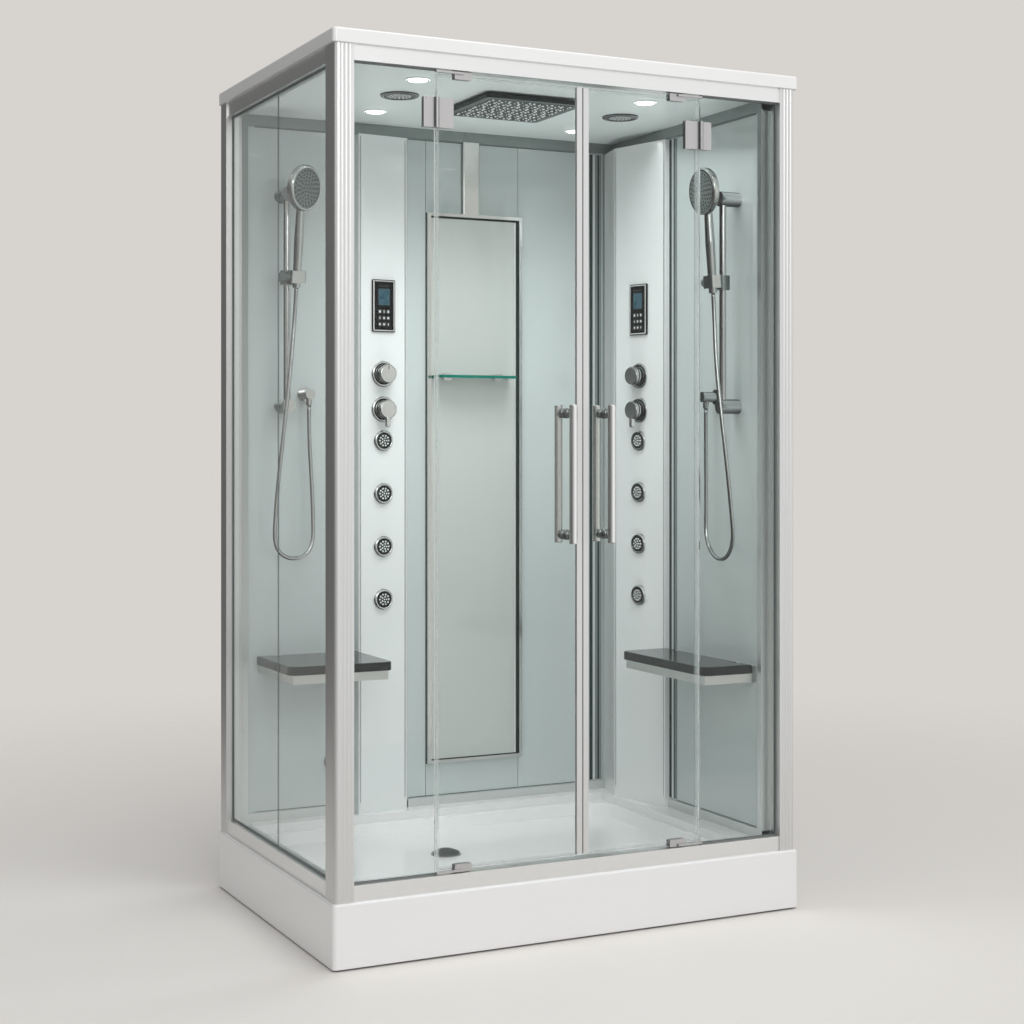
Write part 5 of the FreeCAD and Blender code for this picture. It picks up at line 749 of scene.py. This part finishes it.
# Outlines to turn, as radius and height; rings of nozzles, as radius and count
JET_RIM = [(29.4, 0.2), (29.6, 3), (28.6, 6.4), (26.5, 8.6), (24.4, 8.9), (23.2, 7.6)]
JET_GROOVE = [(23.4, 8.1), (17.4, 8.1)]
JET_SIEVE = [(17.6, 8.15), (9, 8.9), (0, 9.1)]
JET_NOZZLES = ((14.2, 10), (7.4, 5))
ROSETTE_RIM = [(36.3, 0.2), (36.5, 3.2), (35.2, 5.6), (32.5, 6.9), (30.2, 6.5), (29.4, 6.1)]
ROSETTE_GROOVE = [(29.5, 6.15), (26.4, 6.15)]
ROSETTE_MIDDLE = [(26.6, 6.1), (25.6, 7.2), (22.0, 7.6), (14, 7.7)]
# Along a knob's side from the back, at nearly one radius: dark at its base as painted shade, then dark and
# chrome bands that are painted reflections, then the chrome face.
KNOB_SIDES = (
    ("painted_shade_and_reflection", [(19, 8.4), (26.25, 8.6), (26.3, 12.5)]),
    ("painted_shade_and_reflection", [(26.3, 12.5), (26.4, 17.5)]),
    ("knob_side", [(26.4, 17.5), (26.5, 21.5)]),
    ("painted_shade_and_reflection", [(26.5, 21.5), (26.5, 25.5)]),
    ("knob_side", [(26.5, 25.5), (26.5, 31.5), (26.2, 33.2), (25.0, 34.8)]),
    ("knob_chrome", [(25.0, 34.8), (23.6, 35.5), (21.5, 35.4), (12, 35.15), (0, 35.1)]),
)


def on_column(side, height):
    x, y, angle = COLUMN_FACES[side]
    return facing(x, y, height, angle)


def control_panel(side):
    """Bright bezel, black glass face, a dim display and nine keys with plain marks."""
    shape = Shape()
    bezel, black = MATERIALS["bezel"], MATERIALS["control_black"]
    shape.plate(black, 73, 148, 5.1, 5.9, corner=3, edge=0.3)
    for width, height, x, y in ((68, 3.4, 0, 70), (68, 3.4, 0, -70), (3.4, 143, 32.5, 0), (3.4, 143, -32.5, 0)):
        shape.plate(bezel, width, height, 5.8, 7.6, corner=1.6, edge=0.6, centre=(x, y))
    shape.plate(black, 62, 137, 5.6, 6.9, corner=2, edge=0.3)
    shape.plate(MATERIALS["screen_rim"], 39, 49, 6.9, 7.1, corner=1.5, edge=0.1, centre=(0, SCREEN_Y))
    shape.plate(MATERIALS["screen"], 35, 45, 7.0, 7.25, corner=1, edge=0.1, centre=(0, SCREEN_Y))
    for index in range(DIM_MARKS):
        place = (DIM_MARKS_X + index * DIM_MARKS_PITCH, DIM_MARKS_Y)
        shape.plate(MATERIALS["key_dim"], 3.2, 1.6, 6.9, 7.1, corner=0.4, edge=0.05, centre=place)
    for row, y in enumerate(KEY_ROWS):
        for column, x in enumerate(KEY_COLUMNS):
            width = KEY_MARK_WIDTHS[(row + column) % 3]
            height = 6.5 - row * 0.4
            shape.plate(MATERIALS["key_mark"], width, height, 6.9, 7.15, corner=1, edge=0.05, centre=(x, y))
            shape.plate(MATERIALS["key_pad"], 10.5, 12.5, 6.85, 6.98, corner=2, edge=0.05, centre=(x, y))
    shape.add(side + "_control_face", on_column(side, CONTROL_Z), "cabin", "control_black")


def jet(side, height):
    """Chrome rim, a flat groove painted dark as shade and a sieve with nozzles in rings."""
    shape = Shape()
    shape.lathe(MATERIALS["fitting_chrome"], JET_RIM)
    shape.lathe(MATERIALS["painted_shade_and_reflection"], JET_GROOVE)
    shape.lathe(MATERIALS["sieve"], JET_SIEVE)
    shape.dots(MATERIALS["nozzle"], ring_places(JET_NOZZLES), 2.6, 8.3, 10.4)
    shape.add(f"{side}_jet_face_{height}", on_column(side, height), "cabin", "chrome")


# A chrome rim and middle with a flat groove between them painted dark as shade.
def rosette(side, height, name):
    shape = Shape()
    shape.lathe(MATERIALS["fitting_chrome"], ROSETTE_RIM)
    shape.lathe(MATERIALS["painted_shade_and_reflection"], ROSETTE_GROOVE)
    shape.lathe(MATERIALS["fitting_chrome"], ROSETTE_MIDDLE)
    shape.add(f"{side}_{name}_rosette", on_column(side, height), "cabin", "chrome")


def knob(side, height, name, body, with_lever):
    """A round knob whose side carries painted shade at its base and dark bands of painted reflection, with a
    bright rim; the mixer's has a short lever below.
    """
    shape = Shape()
    for finish, outline in KNOB_SIDES:
        shape.lathe(MATERIALS[finish], outline)
    if with_lever:
        shape.plate(MATERIALS["knob_chrome"], 12, 30, 25, 35.3, corner=5.6, edge=1.8, centre=(0, -36))
    else:
        shape.plate(MATERIALS["painted_shade_and_reflection"], 2.2, 9, 35.0, 35.65, corner=1, edge=0.1, centre=(0, 17))
    piece = shape.add(f"{side}_{name}_face", on_column(side, height), body, "chrome")
    if with_lever:
        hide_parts(body + "_lever")


def dress_columns():
    for side in COLUMN_FACES:
        control_panel(side)
        for height in JET_HEIGHTS:
            jet(side, height)
        rosette(side, DIVERTER_Z, "diverter")
        rosette(side, MIXER_Z, "mixer")
        knob(side, DIVERTER_Z, "diverter", side + "_diverter", False)
        knob(side, MIXER_Z, "mixer", side + "_mixer", True)


# Detail on the ceiling

CEILING_Z = 2130
RAIN_PLACE = (5, -60, 2112)
RAIN_PITCH, RAIN_ROWS = 17.2, 14
RAIN_STRAY = 2.6                # how far a nozzle stands off its even place
GRILLES = {"fan": (-313, -39), "speaker": (357, -19)}
LIGHTS = ((-350, -245), (-285, 200), (350, 230), (310, -235))

# From the rim inwards
GRILLE_RINGS = (
    ("painted_shade_and_reflection", [(50.4, -0.5), (50.6, 2.0), (49.6, 3.8)]),
    ("fitting_chrome", [(49.6, 3.8), (46.5, 5.6), (42.5, 5.4), (40.5, 4.4)]),
    ("painted_shade_and_reflection", [(40.5, 4.6), (36.0, 3.9)]),
    ("fitting_chrome", [(36.4, 4.0), (34.6, 5.0), (32.4, 4.6), (31.4, 4.1)]),
    ("sieve", [(31.6, 4.2), (16, 4.5), (0, 4.6)]),
)
GRILLE_DOTS = ((26.5, 15), (18, 10), (9.5, 5))
LIGHT_RIM = [(30.3, 0), (30.2, 2.6), (28.5, 4.6), (25.4, 4.9), (24.6, 4.2)]
LIGHT_LENS = [(24.8, 4.1), (14, 4.9), (0, 5.2)]


def rain_nozzles():
    """A dark plate with a border and nozzles that catch the light unevenly."""
    shape = Shape()
    shape.plate(MATERIALS["rain_border"], 279, 279, -0.5, 0.4, corner=11, edge=0.3)
    shape.plate(MATERIALS["rain_plate"], 246, 246, 0.2, 0.8, corner=5, edge=0.3)
    start = -RAIN_PITCH * (RAIN_ROWS - 1) / 2
    for row in range(RAIN_ROWS):
        for column in range(RAIN_ROWS):
            x = start + RAIN_PITCH * column + RAIN_STRAY * math.sin(row * 5.1 + column * 2.7)
            y = start + RAIN_PITCH * row + RAIN_STRAY * math.cos(row * 3.3 - column * 4.9)
            radius = 3.0 + 1.2 * math.sin(row * 2.1 + column * 4.3)
            shape.dots(MATERIALS["nozzle"], [(x, y)], radius, 0.6, 3.6, sides=7)
    shape.add("rain_head_nozzles", hanging(*RAIN_PLACE), "cabin", "rain_plate")


def grille_face(name, place):
    """A chrome rim whose outer side and inner step are painted dark as shade, and a sieve inside."""
    shape = Shape()
    for finish, outline in GRILLE_RINGS:
        shape.lathe(MATERIALS[finish], outline)
    shape.dots(MATERIALS["nozzle"], ring_places(GRILLE_DOTS), 3.0, 4.2, 5.2, sides=7)
    shape.add(name + "_grille_face", hanging(*place, CEILING_Z), "cabin", "chrome")


def light_face(index, place):
    shape = Shape()
    shape.lathe(MATERIALS["light_rim"], LIGHT_RIM)
    shape.lathe(MATERIALS["light_lens"], LIGHT_LENS)
    shape.add(f"ceiling_light_lens_{index}", hanging(*place, CEILING_Z), "cabin", "light_lens")


def dress_ceiling():
    rain_nozzles()
    for name, place in GRILLES.items():
        grille_face(name, place)
    for index, place in enumerate(LIGHTS):
        light_face(index, place)


# Detail on the showers

# Pivot, then the turns in degrees of the wall, the lean towards the bather and the swivel
HANDSETS = {
    "left": ((-468, 308, 1680), 0, 9, 30),
    "right": ((482, -295, 1655), -90, 4, 0),
}
PIVOT_TO_FACE = (0, -0.019, 0.241)      # in metres, for an upright handset
SPRAY_RIM = [(60.0, -1.6), (59.0, 0.4), (56.6, 1.1), (54.6, 0.6)]
SPRAY_GROOVE = [(54.8, 0.5), (53.4, 0.45)]
SPRAY_FACE = [(53.6, 0.5), (30, 1.0), (0, 1.2)]
SPRAY_DOTS = ((47.5, 24), (38.5, 19), (29.5, 15), (20.5, 10), (11, 6))


def head_place(side):
    """The middle of the spray face, with its normal out of the head."""
    pivot, wall, lean, swivel = HANDSETS[side]
    turn = (
        Matrix.Rotation(math.radians(wall), 4, "Z")
        @ Matrix.Rotation(math.radians(lean), 4, "X")
        @ Matrix.Rotation(math.radians(swivel), 4, "Z")
    )
    face = Matrix(((1, 0, 0), (0, 0, -1), (0, 1, 0))).to_4x4()
    return Matrix.Translation(Vector(pivot) / 1000) @ turn @ Matrix.Translation(PIVOT_TO_FACE) @ face


def handset_face(side):
    """A chrome rim, a flat groove painted dark as shade and a grey face with rings of dark nozzles."""
    shape = Shape()
    shape.lathe(MATERIALS["fitting_chrome"], SPRAY_RIM)
    shape.lathe(MATERIALS["painted_shade_and_reflection"], SPRAY_GROOVE)
    shape.lathe(MATERIALS["spray_face"], SPRAY_FACE)
    shape.dots(MATERIALS["painted_shade_and_reflection"], ring_places(SPRAY_DOTS), 3.0, 0.6, 2.0, sides=7)
    shape.add(side + "_handset_face", head_place(side), side + "_handset", "rain_plate")


def dress_showers():
    for side in HANDSETS:
        handset_face(side)


# Detail on the walls; strips are (left, right, bottom, top) across a wall's face

WALL_Y, MIRROR_GLASS_Y = 400, 390
SIDE_WALL_X, SIDE_SEAM_Y, SIDE_UPRIGHT_Y = 572, 72, 71.5
WALL_Z = (210, 2095)
LOWER_SEAM_Z, UPPER_SEAM_Z = (206, 208.5), (2096, 2099)
BACK_SEAM_SPANS = ((-560, -272), (-104, 486))
SIDE_SEAM_SPAN = (45, 440)
DUCT_SEAM = (63, 65.6, 1892, 2095)      # left of the strip above the mirror
MIRROR = (-47, 255, 301, 1890)
MIRROR_BAR = 9.5
SHADE_SIDE, SHADE_TOP, SHADE_LEFT, SHADE_BOTTOM = 9, 6, 2, 3
# Half the width of each column's face, and the lips on it: finish, inset of the inner edge and width
COLUMN_HALVES = {"left": 77.7, "right": 108.5}
COLUMN_LIPS = (("seam_grey", 7.0, 1.6), ("bright_line", 4.6, 3.2))
COLUMN_EDGE_Z = (212, 2090)


def upright_plates(shape, material, strips, low, high):
    """Thin plates on the strips, from low to high out of the face."""
    for left, right, bottom, top in strips:
        shape.plate(material, right - left, top - bottom, low, high, corner=0.2, edge=0.1,
                    centre=((left + right) / 2, (bottom + top) / 2), steps=1)


def on_back_wall():
    return facing(0, WALL_Y, 0, 0)


def mirror_lines():
    """Dark strips and a bright line inside the frame, painted as the dark gap, shade and frame reflection that
    the mirror shows, and the seam along the frame.
    """
    left, right, low, high = MIRROR
    shade = MATERIALS["mirror_shade"]
    glass_left, glass_right = left + MIRROR_BAR, right - MIRROR_BAR
    glass_low, glass_high = low + MIRROR_BAR, high - MIRROR_BAR
    inner = Shape()
    upright_plates(inner, shade, (
        (glass_right - SHADE_SIDE, glass_right, glass_low, glass_high),
        (glass_left, glass_right - SHADE_SIDE, glass_high - SHADE_TOP, glass_high),
        (glass_left, glass_left + SHADE_LEFT, glass_low, glass_high - SHADE_TOP),
        (glass_left + SHADE_LEFT, glass_right - SHADE_SIDE, glass_low, glass_low + SHADE_BOTTOM),
    ), 0.05, 0.25)
    # A bright line painted as the frame's reflection in the mirror.
    upright_plates(inner, MATERIALS["bright_line"], (
        (glass_right - 13.5, glass_right - 11, glass_low, glass_high - 8),
    ), 0.05, 0.2)
    inner.add("mirror_painted_reflection_and_shade", facing(0, MIRROR_GLASS_Y, 0, 0), "cabin", "mirror_trim")
    outer = Shape()
    upright_plates(outer, shade, (
        (left - 2.4, left - 0.3, low, high),
        (right + 0.3, right + 1.6, low, high),
        (left - 2.4, right + 1.6, low - 2, low - 0.3),
    ), 0.05, 0.5)
    outer.add("mirror_outer_seam", on_back_wall(), "cabin", "mirror_trim")


def grooved_upright(name, place, width, grooves, ridge):
    """An upright of the wall with its grooves painted dark as shade and a bright ridge; all are spans across the
    wall.
    """
    shape = Shape()
    upright_plates(shape, MATERIALS["wall_grey"], ((*width, *WALL_Z),), 0.1, 2.0)
    upright_plates(shape, MATERIALS["mirror_shade"], [(*groove, *WALL_Z) for groove in grooves], 1.9, 2.2)
    upright_plates(shape, MATERIALS["bright_line"], ((*ridge, *WALL_Z),), 1.9, 2.6)
    shape.add(name, place, "cabin", "satin_aluminium")


def wall_uprights():
    """One joins the right column to the side wall, the other to the back wall."""
    side_place = facing(SIDE_WALL_X, SIDE_UPRIGHT_Y, 0, -90)
    grooved_upright("side_wall_upright", side_place, (0, 40), ((4, 13), (28, 32)), (16, 24))
    grooved_upright("corner_upright", on_back_wall(), (488, 529), ((490, 497), (516, 521)), (500, 507))


def wall_seams():
    """Dark joints above and below the wall rails and beside the strip above the mirror."""
    grey = MATERIALS["seam_grey"]
    back = Shape()
    level = [(*span, *height) for height in (LOWER_SEAM_Z, UPPER_SEAM_Z) for span in BACK_SEAM_SPANS]
    upright_plates(back, grey, level + [DUCT_SEAM], 0.05, 0.6)
    back.add("back_wall_seams", on_back_wall(), "cabin", "satin_aluminium")
    side = Shape()
    level = [(*SIDE_SEAM_SPAN, *height) for height in (LOWER_SEAM_Z, UPPER_SEAM_Z)]
    upright_plates(side, grey, level, 0.05, 0.6)
    side.add("side_wall_seams", facing(SIDE_WALL_X, SIDE_SEAM_Y, 0, -90), "cabin", "satin_aluminium")


def column_edges():
    """A bright lip with a dark joint along both edges of each column."""
    for side, half in COLUMN_HALVES.items():
        shape = Shape()
        for turn in (-1, 1):
            for finish, inset, width in COLUMN_LIPS:
                centre = turn * (half - inset + width / 2)
                strip = (centre - width / 2, centre + width / 2, *COLUMN_EDGE_Z)
                upright_plates(shape, MATERIALS[finish], (strip,), 0.05, 0.35)
        shape.add(side + "_column_edges", on_column(side, 0), "cabin", "column_white")


def dress_walls():
    mirror_lines()
    wall_uprights()
    wall_seams()
    column_edges()


# Collars on the posts of the door handles

HANDLES = {"left": -27.8, "right": 80.5}
HANDLE_POSTS = (998, 1299)
HANDLE_FACES = {"front": (-426, 0), "back": (-420, 180)}
COLLAR = [
    (8.05, 0.3), (12.6, 0.3), (12.8, 1.2), (12.4, 5.2), (10.9, 5.6), (10.9, 7.0), (11.6, 7.4),
    (11.6, 20.5), (10.6, 21.6), (8.05, 22),
]


def handle_collars():
    for side, x in HANDLES.items():
        for z in HANDLE_POSTS:
            for face, (y, angle) in HANDLE_FACES.items():
                shape = Shape()
                shape.lathe(MATERIALS["collar_dark"], COLLAR)
                shape.add(f"{side}_handle_collar_{face}_{z}", facing(x, y, z, angle), side + "_door", "chrome")


# Build

SCENE.view_settings.view_transform = "Standard"
add_camera()
add_world()
add_lamps()
add_floor()
paint_nodes()
add_hoses()
dress_columns()
dress_ceiling()
dress_showers()
dress_walls()
handle_collars()
